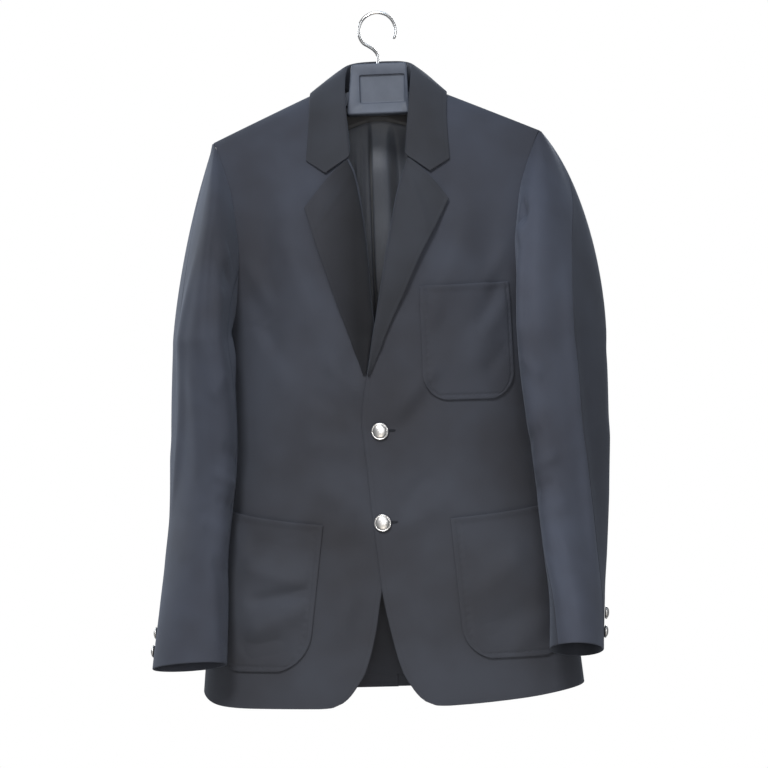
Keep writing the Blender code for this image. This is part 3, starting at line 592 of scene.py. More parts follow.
def folds(x, z, station):
    """Height of the body's folds out of the cloth: the long ones, and the small creases,
    which fade towards the shoulder ridge."""
    face = side_of(station)
    clear = ease(np.abs(station), *RIDGE_CLEAR)
    height = np.zeros(np.shape(x))
    for top_x, foot_x, top_z, foot_z, width, out, side in FOLDS:
        down = np.clip((z - top_z) / (foot_z - top_z), 0, 1)
        across = (x - top_x - (foot_x - top_x) * down) / width
        fade = ease(z, top_z, top_z - FOLD_FADE) * ease(z, foot_z, foot_z + FOLD_FADE)
        height = height + out * np.exp(-across ** 2) * fade * (face == side)
    for from_x, to_x, from_z, to_z, width, out, side in CREASES:
        rise = crease(x - from_x, z - from_z, to_x - from_x, to_z - from_z, CREASE_BOW, width, out)
        height = height + rise * clear * (face == side)
    return height


def torso(angle, station):
    """Point of the body: the angle runs from the centre line to the side, 90 degrees."""
    level, sag, half, front, back = ring(station)
    share = power(np.sin(angle), 2 / RING_POWER)
    round_off = power(np.cos(angle), 2 / RING_POWER)
    soft = SAG_SOFTNESS
    sagging = (np.sqrt(share ** 2 + soft ** 2) - soft) / (math.sqrt(1 + soft ** 2) - soft)
    depth = np.where(station >= 0, -front - SEAM / 2, back + SEAM / 2)
    x = half * share
    bend = np.where(share > 0, HEM_RISE_POWER[0], HEM_RISE_POWER[1])
    rise = HEM_RISE * np.abs(share) ** bend * ease(np.abs(station), HEM - 2, HEM)
    z = level - sag * sagging + rise
    swell = folds(x, z, station) * np.abs(round_off) * side_of(station)
    return np.stack([x, depth * round_off - swell, z], -1)


def angle_of(x, station):
    """Angle round the ring at which the body has this x."""
    half = ring(station)[2]
    return np.arcsin(power(np.clip(x / half, -1, 1), RING_POWER / 2))


def outward(angle, station):
    """Unit normal of the body, out of the garment."""
    turn, step = NORMAL_STEP
    side = torso(angle + turn, station) - torso(angle - turn, station)
    face, reach = side_of(station), np.abs(station)
    high, low = (torso(angle, face * np.clip(reach + way, 0.0, HEM)) for way in (step, -step))
    return unit(np.cross(side, high - low) * -face[..., None])


def on_body(x, station, lift):
    """Point at x on the body's ring, moved out by lift."""
    x, station = np.broadcast_arrays(np.asarray(x, float), np.asarray(station, float))
    angle = angle_of(x, station)
    return torso(angle, station) + outward(angle, station) * np.asarray(lift)[..., None]


def station_at(x, z):
    """Front station at which the body passes x at the height z."""
    low = np.zeros(np.broadcast(x, z).shape)
    high = np.full(low.shape, float(HEM))
    for _ in range(HALVINGS):
        middle = (low + high) / 2
        above = torso(angle_of(x, middle), middle)[..., 2] > z
        low = np.where(above, middle, low)
        high = np.where(above, high, middle)
    return (low + high) / 2


def rimmed(count, share):
    """Shares from 0 to 1, close together at both ends for a rounded rim, even between."""
    turn = share * (1 - np.cos(np.linspace(0, np.pi / 2, RIM_STEPS + 1)))
    return np.concatenate([turn[:-1], np.linspace(share, 1 - share, count), 1 - turn[-2::-1]])


def grid(kind):
    """Shares down the rows of a kind of piece, as a column, and over its columns."""
    down, over = (rimmed(*counts) for counts in GRIDS[kind])
    return down[:, None], over


def grid_normals(points):
    """Unit normals of a grid of points."""
    normal = np.cross(np.gradient(points, axis=0), np.gradient(points, axis=1))
    length = np.linalg.norm(normal, axis=-1, keepdims=True)
    return normal / np.where(length == 0, 1, length)


def arc_shares(points, axis):
    """Distance run along one way of a grid, in millimetres."""
    steps = np.linalg.norm(np.diff(points, axis=axis), axis=-1)
    start = np.zeros_like(np.take(steps, [0], axis=axis))
    return np.concatenate([start, np.cumsum(steps, axis=axis)], axis=axis)


def inside_out(points, faces):
    """True where a closed mesh of quads holds a volume below nought."""
    a, b, c, d = (points[faces[:, k]] for k in range(4))
    return (np.einsum("ij,ij->i", np.cross(b - a, c - a), a + b + c).sum()
            + np.einsum("ij,ij->i", np.cross(c - a, d - a), a + c + d).sum()) < 0


def quads(index, closed=True):
    """Quads over a grid of point numbers; closed joins its last column to its first."""
    over = np.roll(index, -1, axis=1)
    faces = np.stack([index[:-1], over[:-1], over[1:], index[1:]], -1)
    return (faces if closed else faces[:, :-1]).reshape(-1, 4)


def tube_faces(rings, flip=False):
    """Quads round a stack of rings of points, with a flat cap on each end."""
    rows, sides = rings.shape[:2]
    index = np.arange(rows * sides).reshape(rows, sides)
    faces = quads(index).tolist() + [index[0][::-1].tolist(), index[-1].tolist()]
    return [face[:1] + face[:0:-1] for face in faces] if flip else faces


def mesh_piece(name, points, faces, materials, node=None, sharp=None):
    """Smooth object on the body from points in millimetres; sharp is the angle of its edges
    in degrees and node the solid that it stands for."""
    mesh = bpy.data.meshes.new(name)
    mesh.from_pydata((np.asarray(points).reshape(-1, 3) * MM).tolist(), [], faces)
    for made in materials:
        mesh.materials.append(made)
    mesh.shade_smooth()
    if sharp:
        mesh.set_sharp_from_angle(angle=math.radians(sharp))
    piece = bpy.data.objects.new(name, mesh)
    bpy.context.scene.collection.objects.link(piece)
    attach(piece, "root")
    if node:
        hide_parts(node)
    return piece


def mapped_piece(name, points, faces, maps, materials, node=None, numbers=None):
    """Closed piece of quads about the garment's centre line, turned outwards, with its UV
    maps in metres and the number of each face's material."""
    if inside_out(points - points.mean(0), faces):
        faces = faces[:, ::-1]
    piece = mesh_piece(name, points + (GARMENT_X, 0, 0), faces.tolist(), materials, node)
    corner = np.empty(len(piece.data.loops), dtype=np.int32)
    piece.data.loops.foreach_get("vertex_index", corner)
    for label, values in maps.items():
        layer = piece.data.uv_layers.new(name=label)
        layer.data.foreach_set("uv", (values.reshape(-1, 2)[corner] * MM).ravel())
    if numbers is not None:
        piece.data.polygons.foreach_set("material_index", np.asarray(numbers, dtype=np.int32))
    piece.data.update()
    return piece


def cloth_piece(node, outer, inner, materials, stitched=(0, 0, 0, 0), round_by=None, inside=None):
    """Closed cloth shell between two grids, its faces drawn together at the rim, that stands
    for a solid and says what it was cut to.

    The half thickness is scaled by sqrt(1 - (1 - d / r)^2) within r of an edge, a quarter
    round. stitched says which edges have a row of stitches along them: first row, last row,
    first and last column. The stitch map holds the run along the nearest of those and the
    distance from it. inside is an optional grid of the materials' numbers on the inner face.
    """
    middle = (outer + inner) / 2
    half = (outer - inner) / 2
    radius = np.linalg.norm(half, axis=-1).mean() if round_by is None else round_by
    down, over = arc_shares(middle, 0), arc_shares(middle, 1)
    sides = (down, down[-1:] - down, over, over[:, -1:] - over)
    near = np.minimum.reduce(sides)
    stitch_far = np.full(near.shape, NO_STITCH)
    stitch_run = np.zeros(near.shape)
    for wanted, distance, run in zip(stitched, sides, (over, over, down, down)):
        if wanted:
            closer = distance < stitch_far
            stitch_far = np.where(closer, distance, stitch_far)
            stitch_run = np.where(closer, run, stitch_run)
    draw = np.sqrt(np.clip(1 - np.clip(1 - near / radius, 0, 1) ** 2, 0.0025, 1))[..., None]
    count = near.size
    index = np.arange(count).reshape(near.shape)
    top = quads(index, False)
    edge = np.concatenate([index[0], index[1:, -1], index[-1, -2::-1], index[-2::-1, 0]])
    wall = np.stack([edge[:-1], edge[:-1] + count, edge[1:] + count, edge[1:]], -1)
    numbers = np.zeros(2 * len(top) + len(wall), dtype=int)
    if inside is not None:
        numbers[len(top):2 * len(top)] = inside[:-1, :-1].reshape(-1)
    flat = np.stack([over, -down], -1)
    rows_of = np.stack([stitch_run, stitch_far], -1)
    bare = np.stack([np.zeros(near.shape), np.full(near.shape, NO_STITCH)], -1)
    piece = mapped_piece(
        node + "_cloth",
        np.concatenate([middle + half * draw, middle - half * draw]).reshape(-1, 3),
        np.concatenate([top, top[:, ::-1] + count, wall]),
        {"cloth": np.concatenate([flat, flat]), "stitch": np.concatenate([rows_of, bare])},
        materials, node, numbers)


# Materials


def group_of(name, inputs, outputs):
    """New shader node group with named sockets; returns it with its two end nodes."""
    tree = bpy.data.node_groups.new(name, "ShaderNodeTree")
    for label, kind, value in inputs:
        socket = tree.interface.new_socket(label, in_out="INPUT", socket_type=kind)
        if value is not None:
            socket.default_value = value
    for label, kind in outputs:
        tree.interface.new_socket(label, in_out="OUTPUT", socket_type=kind)
    return tree, tree.nodes.new("NodeGroupInput"), tree.nodes.new("NodeGroupOutput")


def feed(tree, node, inputs):
    """Sets a node's inputs, by label or number, to plain values or links them to sockets."""
    for label, value in inputs.items():
        if isinstance(value, bpy.types.NodeSocket):
            tree.links.new(value, node.inputs[label])
        else:
            node.inputs[label].default_value = value


def new_node(tree, kind, inputs):
    """Shader node of a kind, with its inputs set."""
    node = tree.nodes.new("ShaderNode" + kind)
    feed(tree, node, inputs)
    return node


def maths(tree, operation, *values, clamp=False):
    """Math node whose inputs are sockets or plain numbers; returns its output."""
    node = new_node(tree, "Math", {})
    node.operation = operation
    node.use_clamp = clamp
    feed(tree, node, dict(enumerate(values)))
    return node.outputs[0]


def vector_maths(tree, operation, *values):
    """Vector math node whose inputs are sockets or plain vectors; returns its output."""
    node = new_node(tree, "VectorMath", {})
    node.operation = operation
    feed(tree, node, dict(enumerate(values)))
    return node.outputs[0]


def noise_node(tree, vector, scale, detail, roughness):
    """Noise of a vector; returns its factor."""
    return new_node(tree, "TexNoise", {"Vector": vector, "Scale": scale, "Detail": detail,
                                       "Roughness": roughness}).outputs["Fac"]


def twill_group():
    """Fine twill from the cloth's UV: diagonal ribs crossed by the threads' own grain."""
    tree, start, end = group_of(
        "fine_twill",
        (("Cloth", "NodeSocketVector", None), ("Ribs", "NodeSocketFloat", 900.0)),
        (("Height", "NodeSocketFloat"), ("Tone", "NodeSocketFloat")))
    place = new_node(tree, "SeparateXYZ", {0: start.outputs["Cloth"]}).outputs
    u = maths(tree, "MULTIPLY", place[0], start.outputs["Ribs"])
    v = maths(tree, "MULTIPLY", place[1], start.outputs["Ribs"])
    slant = maths(tree, "MULTIPLY_ADD", v, 0.9, u)
    ribs = maths(tree, "SINE", maths(tree, "MULTIPLY", slant, 2 * math.pi))
    weft = maths(tree, "SINE", maths(tree, "MULTIPLY", v, 4 * math.pi))
    fuzz = noise_node(tree, start.outputs["Cloth"], 1500.0, 2.0, 0.7)
    threads = maths(tree, "MULTIPLY_ADD", weft, 0.35, ribs)
    feed(tree, end, {"Height": maths(tree, "MULTIPLY_ADD", fuzz, 2.2, threads),
                     "Tone": maths(tree, "MULTIPLY_ADD", ribs, 0.10, fuzz)})
    return tree


def stitch_group():
    """Row of small stitches set in from an edge: dashes along the run, in a thin band that
    is sunk in a wider valley."""
    tree, start, end = group_of(
        "edge_stitch",
        (("Stitch", "NodeSocketVector", None), ("Inset", "NodeSocketFloat", 0.0055),
         ("Pitch", "NodeSocketFloat", 0.0034), ("Thread half", "NodeSocketFloat", 0.00042),
         ("Valley half", "NodeSocketFloat", 0.0016)),
        (("Thread", "NodeSocketFloat"), ("Height", "NodeSocketFloat")))
    given = start.outputs
    place = new_node(tree, "SeparateXYZ", {0: given["Stitch"]}).outputs
    off = maths(tree, "ABSOLUTE", maths(tree, "SUBTRACT", place[1], given["Inset"]))
    band, valley = (
        maths(tree, "SUBTRACT", 1.0, maths(tree, "DIVIDE", off, given[half]), clamp=True)
        for half in ("Thread half", "Valley half"))
    part = maths(tree, "FRACT", maths(tree, "DIVIDE", place[0], given["Pitch"]))
    reach = maths(tree, "ABSOLUTE", maths(tree, "SUBTRACT", part, 0.5))
    dash = maths(tree, "MULTIPLY", maths(tree, "SUBTRACT", 0.36, reach), 9.0, clamp=True)
    thread = maths(tree, "MULTIPLY", band, dash)
    sunk = maths(tree, "MULTIPLY", valley, -2.2)
    feed(tree, end, {"Thread": thread, "Height": maths(tree, "MULTIPLY_ADD", thread, 2.6, sunk)})
    return tree


def colour_ramp(tree, factor, low, dark, high, light):
    """Colour from dark at one value of the factor to light at another."""
    node = new_node(tree, "ValToRGB", {"Fac": factor})
    for item, place, colour in zip(node.color_ramp.elements, (low, high), (dark, light)):
        item.position = place
        item.color = (*colour, 1.0)
    return node.outputs["Color"]


def principled(name):
    """New node material; returns it with its tree, its shader and its Object coordinates."""
    made = bpy.data.materials.new(name)
    made.use_nodes = True
    tree = made.node_tree
    return made, tree, tree.nodes["Principled BSDF"], new_node(tree, "TexCoord", {}).outputs["Object"]


def bump_node(tree, height, strength, distance):
    """Bump of a height; returns its normal."""
    return new_node(tree, "Bump", {"Height": height, "Strength": strength,
                                   "Distance": distance}).outputs["Normal"]


def uv_map(tree, label):
    """One of the piece's own UV maps."""
    node = new_node(tree, "UVMap", {})
    node.uv_map = label
    return node.outputs["UV"]


def place_group(tree, group, inputs):
    """Group node in a tree; returns its outputs."""
    node = new_node(tree, "Group", {})
    node.node_tree = group
    feed(tree, node, inputs)
    return node.outputs


def shaded(tree, colour, place, axis, clear, full, loss):
    """Colour scaled along an axis from 1 at clear down to 1 - loss at full, where loss is
    given for red, green and blue."""
    past = maths(tree, "SUBTRACT", new_node(tree, "SeparateXYZ", {0: place}).outputs[axis], clear)
    part = maths(tree, "DIVIDE", past, full - clear, clamp=True)
    kept = vector_maths(tree, "SUBTRACT", (1.0, 1.0, 1.0), vector_maths(tree, "MULTIPLY", loss, part))
    return vector_maths(tree, "MULTIPLY", colour, kept)


def twill_cloth(name, dark, light, shade=None):
    """Suiting: twill ribs, a slow drift of tone over the cloth, rows of stitches and a soft
    nap. shade is the light and shade painted into the colour along an axis."""
    made, tree, shader, place = principled(name)
    weave = place_group(tree, TWILL, {"Cloth": uv_map(tree, "cloth")})
    drift = noise_node(tree, place, 8.0, 3.0, 0.55)
    seam = place_group(tree, STITCHES, {"Stitch": uv_map(tree, "stitch")})
    mixed = maths(tree, "MULTIPLY_ADD", drift, 0.9, maths(tree, "MULTIPLY", weave["Tone"], 0.35))
    mixed = maths(tree, "MULTIPLY_ADD", seam["Thread"], -0.22, mixed)
    colour = colour_ramp(tree, mixed, 0.44, dark, 0.80, light)
    height = maths(tree, "ADD", weave["Height"], seam["Height"])
    feed(tree, shader, {
        "Base Color": shaded(tree, colour, place, *shade) if shade else colour,
        "Normal": bump_node(tree, height, 0.28, 0.00012),
        "Roughness": 0.82, "Specular IOR Level": 0.22, "Sheen Weight": 0.16,
        "Sheen Roughness": 0.45, "Sheen Tint": (0.55, 0.62, 0.78, 1.0)})
    return made


def satin_cloth(name, dark, light):
    """Lining satin: fine vertical floats that catch the light, soft watery tone."""
    made, tree, shader, place = principled(name)
    drawn = new_node(tree, "Mapping", {"Vector": uv_map(tree, "cloth"), "Scale": (1.0, 0.06, 1.0)})
    floats = noise_node(tree, drawn.outputs["Vector"], 1400.0, 2.0, 0.6)
    drift = noise_node(tree, place, 9.0, 2.0, 0.5)
    mixed = maths(tree, "MULTIPLY_ADD", drift, 0.7, maths(tree, "MULTIPLY", floats, 0.3))
    feed(tree, shader, {
        "Base Color": colour_ramp(tree, mixed, 0.3, dark, 0.75, light),
        "Normal": bump_node(tree, floats, 0.15, 0.0001),
        "Roughness": 0.5, "Specular IOR Level": 0.36, "Sheen Weight": 0.1})
    return made


def moulded_plastic(name, dark, light):
    """Hanger plastic: fine spark-eroded grain, a little scuffing."""
    made, tree, shader, place = principled(name)
    grain = noise_node(tree, place, 2600.0, 2.0, 0.6)
    scuff = noise_node(tree, place, 38.0, 4.0, 0.62)
    feed(tree, shader, {
        "Base Color": colour_ramp(tree, scuff, 0.3, dark, 0.72, light),
        "Normal": bump_node(tree, grain, 0.2, 0.0001),
        "Roughness": maths(tree, "MULTIPLY_ADD", scuff, 0.20, 0.44), "Specular IOR Level": 0.3})
    return made


def polished_metal(name, colour, smoothest, roughest, rubbed):
    """Plated metal: bright, with a faint brushing and duller patches."""
    made, tree, shader, place = principled(name)
    rub = noise_node(tree, place, rubbed, 3.0, 0.6)
    fine = noise_node(tree, place, 1800.0, 2.0, 0.6)
    feed(tree, shader, {
        "Base Color": colour_ramp(tree, rub, 0.3, [0.8 * c for c in colour], 0.65, colour),
        "Normal": bump_node(tree, fine, 0.05, 0.00005),
        "Roughness": maths(tree, "MULTIPLY_ADD", rub, roughest - smoothest, smoothest),
        "Metallic": 1.0})
    return made


TWILL = twill_group()
STITCHES = stitch_group()
# The body's navy carries a painted light tint, bluer at the top and warmer towards the hem
NAVY = twill_cloth("navy_twill", (0.0290, 0.0308, 0.0400), (0.0440, 0.0505, 0.0705), PAINTED_LIGHT_BODY)
COLLAR_NAVY = twill_cloth("navy_collar", (0.0215, 0.0222, 0.0262), (0.0345, 0.0380, 0.0480))
# Facing navy for the wearer's right lapel, with painted shade towards its roll line
FACING_NAVY = twill_cloth("navy_facing", (0.0235, 0.0240, 0.0285), (0.0360, 0.0385, 0.0490), PAINTED_SHADE_FACING)
# Lit copy of the navy for the wearer's right sleeve: painted light, lighter and bluer than the body, with
# painted shade towards the body
LIT_SLEEVE_NAVY = twill_cloth("navy_sleeve", (0.0385, 0.0412, 0.0530), (0.0590, 0.0675, 0.0930),
                          PAINTED_SHADE_SLEEVE_RIGHT)
# Lit copy of the navy for the top of the wearer's left sleeve, darkened towards the sleeve head: painted
# light
LIT_SLEEVE_TOP_NAVY = twill_cloth("navy_sleeve_top_lit", (0.0410, 0.0440, 0.0575), (0.0620, 0.0715, 0.0990),
                              PAINTED_SHADE_SLEEVE_LEFT)
# Shaded copy of the navy for the under sleeve on the wearer's left: painted shade
SHADED_SLEEVE_UNDER_NAVY = twill_cloth("navy_sleeve_under_shaded", (0.0255, 0.0272, 0.0340), (0.0390, 0.0440, 0.0590))
THREAD = twill_cloth("navy_thread", (0.0130, 0.0140, 0.0180), (0.0240, 0.0265, 0.0330))
SATIN_GREY = satin_cloth("satin_lining", (0.046, 0.049, 0.059), (0.090, 0.100, 0.122))
# Near-black satin for the back neck facing at the top of the lining, darkened as painted shadow under the
# hanger's panel
SATIN_DARK = satin_cloth("satin_neck_facing_and_shadow", (0.014, 0.014, 0.016), (0.027, 0.027, 0.031))
PLASTIC = moulded_plastic("hanger_grey", (0.064, 0.075, 0.100), (0.090, 0.104, 0.136))
SILVER = polished_metal("button_silver", (0.70, 0.69, 0.68), 0.24, 0.52, 60.0)
STEEL = polished_metal("hook_steel", (0.80, 0.80, 0.80), 0.10, 0.26, 30.0)


# Cloth pieces


def front_edge(side, station):
    """x of a front's inner edge: side 1 is the wearer's left, -1 the right."""
    return smooth(FRONT_EDGES[:, 0], FRONT_EDGES[:, pick((1, 2), side)], ring(station)[0])


def armhole_x(side, station):
    """x of the armhole or the side seam, front where the station is positive."""
    front, back = (smooth(ARMHOLE[:, 0], ARMHOLE[:, c], np.abs(station)) for c in (1, 2))
    return side * ring(station)[2] * np.where(station >= 0, front, back)


def front_lift(side, x, station):
    """How far a front lies off the body: the right one sinks where the left laps over it."""
    if side > 0:
        return np.zeros(np.shape(x))
    level = ring(station)[0]
    return -UNDERLAP * ease(x, *LAP_X) * ease(level, *LAP_TOP) * (1 - ease(level, *LAP_FOOT))


def button_pull(x, z):
    """Small dimple round each buttoned place, where the cloth is drawn in by 1 mm."""
    at_x, over, down = PULL
    return -sum(np.exp(-(((x - at_x) / over) ** 2 + ((z - height) / down) ** 2))
                for height in BUTTON_HEIGHTS)


def across_body(first_x, last_x, station, share):
    """Angle round the body at a share of the way from one x to another."""
    return between(angle_of(first_x, station), angle_of(last_x, station), share)


def build_front(side, name):
    """One front: rows run down from the shoulder ridge, columns from the edge to the armhole."""
    down, share = grid("front")
    station = np.interp(down, *FRONT_RUN) + 0 * share
    edge = front_edge(side, station)
    angle = across_body(edge, armhole_x(side, station), station, share)
    point, normal = torso(angle, station), outward(angle, station)
    x, z = point[..., 0], point[..., 2]
    lift = front_lift(side, x, station) + (button_pull(x, z) if side > 0 else 0)
    outer = point + normal * lift[..., None]
    inner = outer - normal * CLOTH
    inner[..., 1] = np.minimum(inner[..., 1], -SEAM / 2)
    lined = (np.abs(x - edge) > FACING_WIDTH + FACING_WAVE * np.sin(z / FACING_RUN)) & (z > LINED_TO)
    cloth_piece(name, outer, inner, [NAVY, SATIN_GREY], inside=lined, stitched=(0, 0, 1, 0))


def build_back(side, name):
    """One back; the wearer's left one laps over the right below the top of the vent."""
    down, share = grid("back")
    top = smooth(BACK_NECK[:, 0], BACK_NECK[:, 1], share)
    down = np.interp(down, *BACK_RUN)
    station = -(HEM * down + top * (1 - down) ** 3)
    level = ring(station)[0]
    laps = 1 if side > 0 else 0
    edge = side * SEAM / 2 - laps * VENT_LAP * ease(level - VENT_TOP, *VENT_START)
    angle = across_body(edge, armhole_x(side, station), station, share)
    point, normal = torso(angle, station), outward(angle, station)
    x = point[..., 0]
    over = ease(level - VENT_TOP, *VENT_LIFT) * (1 - ease(x, *VENT_SIDE))
    outer = point + normal * (laps * (CLOTH + VENT_GAP) * over)[..., None]
    inner = outer - normal * CLOTH
    inner[..., 1] = np.maximum(inner[..., 1], SEAM / 2)
    lined = (point[..., 2] > LINED_TO) & (np.abs(x) > BACK_FACING)
    cloth_piece(name, outer, inner, [NAVY, SATIN_GREY], inside=lined)


def lapel_frame(side, out, down):
    """x and z of a lapel's points, from the roll line out to its edge and down to its foot."""
    edge_x, edge_z = (smooth(LAPELS[:, 0], LAPELS[:, c], down) for c in pick(((1, 2), (3, 4)), side))
    roll_z = between(LAPEL_TOP_Z, pick(LAPEL_FOOT_Z, side), down)
    station = station_at(np.zeros(roll_z.shape), roll_z + LAPEL_RISE * (1 - down))
    roll_x = front_edge(side, station)
    if side < 0:
        roll_x = np.minimum(roll_x, front_edge(1, station) - LAPEL_TUCK)
    bow = LAPEL_TOP_BOW * 4 * out * (1 - out) * (1 - down) ** 3
    return between(roll_x, edge_x, out), between(roll_z, edge_z, out) + bow


def build_lapel(side, name):
    """Notch lapel: the facing turned out on the front, with a soft roll past the fold, a
    wavy middle, an edge that stands off a little and one crease across its top."""
    down, out = grid("lapel")
    x, z = lapel_frame(side, out, down)
    station = station_at(x, z)
    bell = 4 * out * (1 - out)
    roll = LAPEL_ROLL * np.sqrt(out) * (1 - out) ** 1.5
    high, waves, start = LAPEL_WAVE
    wave = high * np.sin(waves * down + start * side) * bell * ease(down, 0, 0.2)
    stand = LAPEL_STAND * out ** 1.3 * (1 - down) ** 0.8 * ease(down, -0.25, 0.3)
    high, first, slant, width = LAPEL_CREASE
    across_top = high * np.exp(-((LAPEL_LENGTH * down - first - slant * out) / width) ** 2) * bell
    lift = front_lift(side, x, station) + LAPEL_LIE + roll + wave + stand + across_top
    # The wearer's right lapel takes the facing navy with painted shade towards its roll
    cloth_piece(name, on_body(x, station, lift + FACING), on_body(x, station, lift),
                [pick((COLLAR_NAVY, FACING_NAVY), side)], round_by=1.3, stitched=(1, 0, 0, 1))


def collar_middle(at, share_line):
    """Middle surface of the collar: foot of the stand, up over the fold, down the fall."""
    side, row = side_of(at), np.abs(at)
    fold_x, fold_y, fold_z, edge_x, edge_station, foot_x, foot_station, sunk = columns_at(COLLAR, row)
    fold_x, edge_x, foot_x = (side * x + NECK_X for x in (fold_x, edge_x, foot_x))
    fold = np.stack([fold_x, fold_y, fold_z], -1)
    edge = on_body(edge_x, edge_station, np.full(row.shape, LIE + COLLAR_LIE))
    foot = on_body(foot_x, foot_station, -sunk)
    away = outward(angle_of(edge_x, edge_station), edge_station)
    bow = COLLAR_BOW * ease(row, COLLAR_BOW_FROM, len(COLLAR) - 1) ** 1.5
    drop = np.stack([np.zeros(row.shape), -0.24 * bow, -bow], -1)
    parts = []
    for share in share_line:
        if share <= 0:
            spot = between(fold, foot, -share)
        else:
            span = NOTCH_SHARE if share < NOTCH_SHARE else 1 - NOTCH_SHARE
            peak = 1 - abs(share - NOTCH_SHARE) / span
            spot = between(fold, edge, share) + drop * peak
            spot = spot + away * COLLAR_BULGE * math.sin(math.pi * share)
        parts.append(spot)
    return np.stack(parts, 1)


def relax(points, rounds, keep):
    """Averages a grid along its second way, but for the columns that keep their place."""
    for _ in range(rounds):
        middle = (points[:, :-2] + points[:, 2:]) / 4 + points[:, 1:-1] / 2
        points = np.concatenate([points[:, :1], middle * (1 - keep) + points[:, 1:-1] * keep,
                                 points[:, -1:]], 1)
    return points


def build_collar(name):
    """Fall and stand in one folded wall round the neck, with a rounded fold."""
    at = (rimmed(*COLLAR_ROWS) * 2 - 1) * (len(COLLAR) - 1)
    line = np.concatenate([np.linspace(*part) for part in COLLAR_LINE] + [COLLAR_RIM])
    middle = collar_middle(at, line)
    keep = ((np.abs(line) > 0.16) * 0.9)[None, 1:-1, None]
    middle = relax(middle, COLLAR_RELAX, keep)
    half = grid_normals(middle) * COLLAR_WALL / 2
    cloth_piece(name, middle + half, middle - half, [COLLAR_NAVY], round_by=1.2,
                stitched=(1, 1, 0, 1))


def sleeve_point(side, table, around, down):
    """Sleeve surface: around is degrees from the outer side to the front, down is 0 at the
    armhole, 1 at the first ring of the table and one more at each later ring.

    Below the first ring it is an oval. Above it each point runs on a cubic with four controls:
    the armhole, a point that leaves it outwards, one that rises from the oval, and the oval.
    """
    angle = np.radians(around)
    row = np.clip(down - 1, 0, len(table) - 1)
    z, x, y, half_long, half_thick, turn, slope, _ = columns_at(table, row)
    turn = np.radians(turn)
    along_x, along_y = np.cos(turn), np.sin(turn)
    out, front = half_thick * np.cos(angle), -half_long * np.sin(angle)
    rel_x = along_y * out + along_x * front
    rel_y = -along_x * out + along_y * front
    tube = np.stack([side * (x + rel_x), y + rel_y, z - slope * rel_y], -1)
    turned = np.mod(around, 360.0)
    share = np.where(turned <= 180, turned, 360 - turned) / 180
    station = UNDERARM * share * np.where(turned <= 180, 1.0, -1.0)
    hole = on_body(armhole_x(side, station), station, np.full(station.shape, -CLOTH / 2))
    hole[..., 0] += side * CAP_START
    reach = np.linalg.norm(tube - hole, axis=-1, keepdims=True) * CAP_REACH
    ahead = np.clip(np.sin(angle), 0, 1)
    behind = np.clip(-np.sin(angle), 0, 1)
    outer_side = np.clip(np.cos(angle), 0, 1)
    trim, lean = pick(CAP_TRIM, side) * outer_side, pick(CAP_LEAN, side) * outer_side
    even, by_cosine, less_ahead, more_behind = CAP_OUT
    leave_x = even + by_cosine * np.cos(angle) - trim - less_ahead * ahead + more_behind * behind
    leave = np.stack([side * leave_x, CAP_BACK[0] * behind - CAP_BACK[1] * ahead,
                      -CAP_DOWN[0] - CAP_DOWN[1] * np.abs(np.cos(angle))], -1)
    rise = np.stack([-side * lean, 0 * share, np.full(share.shape, CAP_RISE)], -1)
    t = np.clip(down, 0, 1)[..., None]
    one, two = hole + leave * reach, tube + rise * reach
    cap = ((1 - t) ** 3 * hole + 3 * (1 - t) ** 2 * t * one + 3 * (1 - t) * t * t * two
           + t ** 3 * tube)
    return np.where((down < 1)[..., None], cap, tube)


def sleeve_normal(side, table, around, down):
    """Unit normal of a sleeve, out of the tube."""
    ahead, behind = (sleeve_point(side, table, around + way, down) for way in (0.5, -0.5))
    low, high = (sleeve_point(side, table, around, np.clip(down + way, 0, len(table)))
                 for way in (-0.01, 0.01))
    return unit(np.cross(ahead - behind, high - low) * side)


def sleeve_swell(side, around, down):
    """Height of a sleeve's creases: bells across lines in angle and run down the sleeve."""
    around, down = np.broadcast_arrays(around, down)
    run = np.where(down < 1, CAP_RUN * down, CAP_RUN + ROW_RUN * (down - 1))
    height = np.zeros(around.shape)
    shift = pick((0.0, CREASE_TURN), side)
    for from_a, from_r, to_a, to_r, width, out, only in SLEEVE_CREASES:
        way = CREASE_ARC * (to_a - from_a)
        for wrap in (-360.0, 0.0, 360.0) if only in (0, side) else ():
            over = CREASE_ARC * (around + wrap - from_a - shift)
            below = run - from_r - CREASE_DROP * shift
            height = height + crease(over, below, way, to_r - from_r, 0.0, width, out)
    return height * ease(down, *HEAD_FLAT) * (1 - ease(down, *CUFF_FLAT))


def hind_seam(table, down):
    """Angle of the hind-arm seam, which comes round from the back of the armhole."""
    rows = np.concatenate([SLEEVE_HEAD_SEAM[0], np.arange(1, len(table) + 1)])
    angles = np.concatenate([SLEEVE_HEAD_SEAM[1], table[:, 7]])
    return smooth(rows, angles, down)


def build_sleeve(side, table, name, part):
    """Top or under half of a two-piece sleeve, an open wall between its two seams."""
    down, share = grid("sleeve")
    down = np.interp(down, *SLEEVE_RUN)
    hind, front = hind_seam(table, down), smooth(*SLEEVE_FRONT_SEAM, down)
    if part == "top":
        first, last = hind + SEAM_DEGREES, front - SEAM_DEGREES
    else:
        first, last = front + SEAM_DEGREES, hind + 360 - SEAM_DEGREES
    around = between(first, last, share)
    down = down + 0 * around
    normal = sleeve_normal(side, table, around, down)
    swell = sleeve_swell(side, around, down)[..., None]
    middle = sleeve_point(side, table, around, down) + normal * swell
    # Painted light: lit copies of the navy on the sleeves, and a shaded copy on the wearer's left under
    # sleeve
    made = LIT_SLEEVE_NAVY if side < 0 else LIT_SLEEVE_TOP_NAVY if part == "top" else SHADED_SLEEVE_UNDER_NAVY
    cloth_piece(name, middle + normal * CLOTH / 2, middle - normal * CLOTH / 2, [made, SATIN_GREY],
                inside=down < len(table) - SLEEVE_LINED_TO)


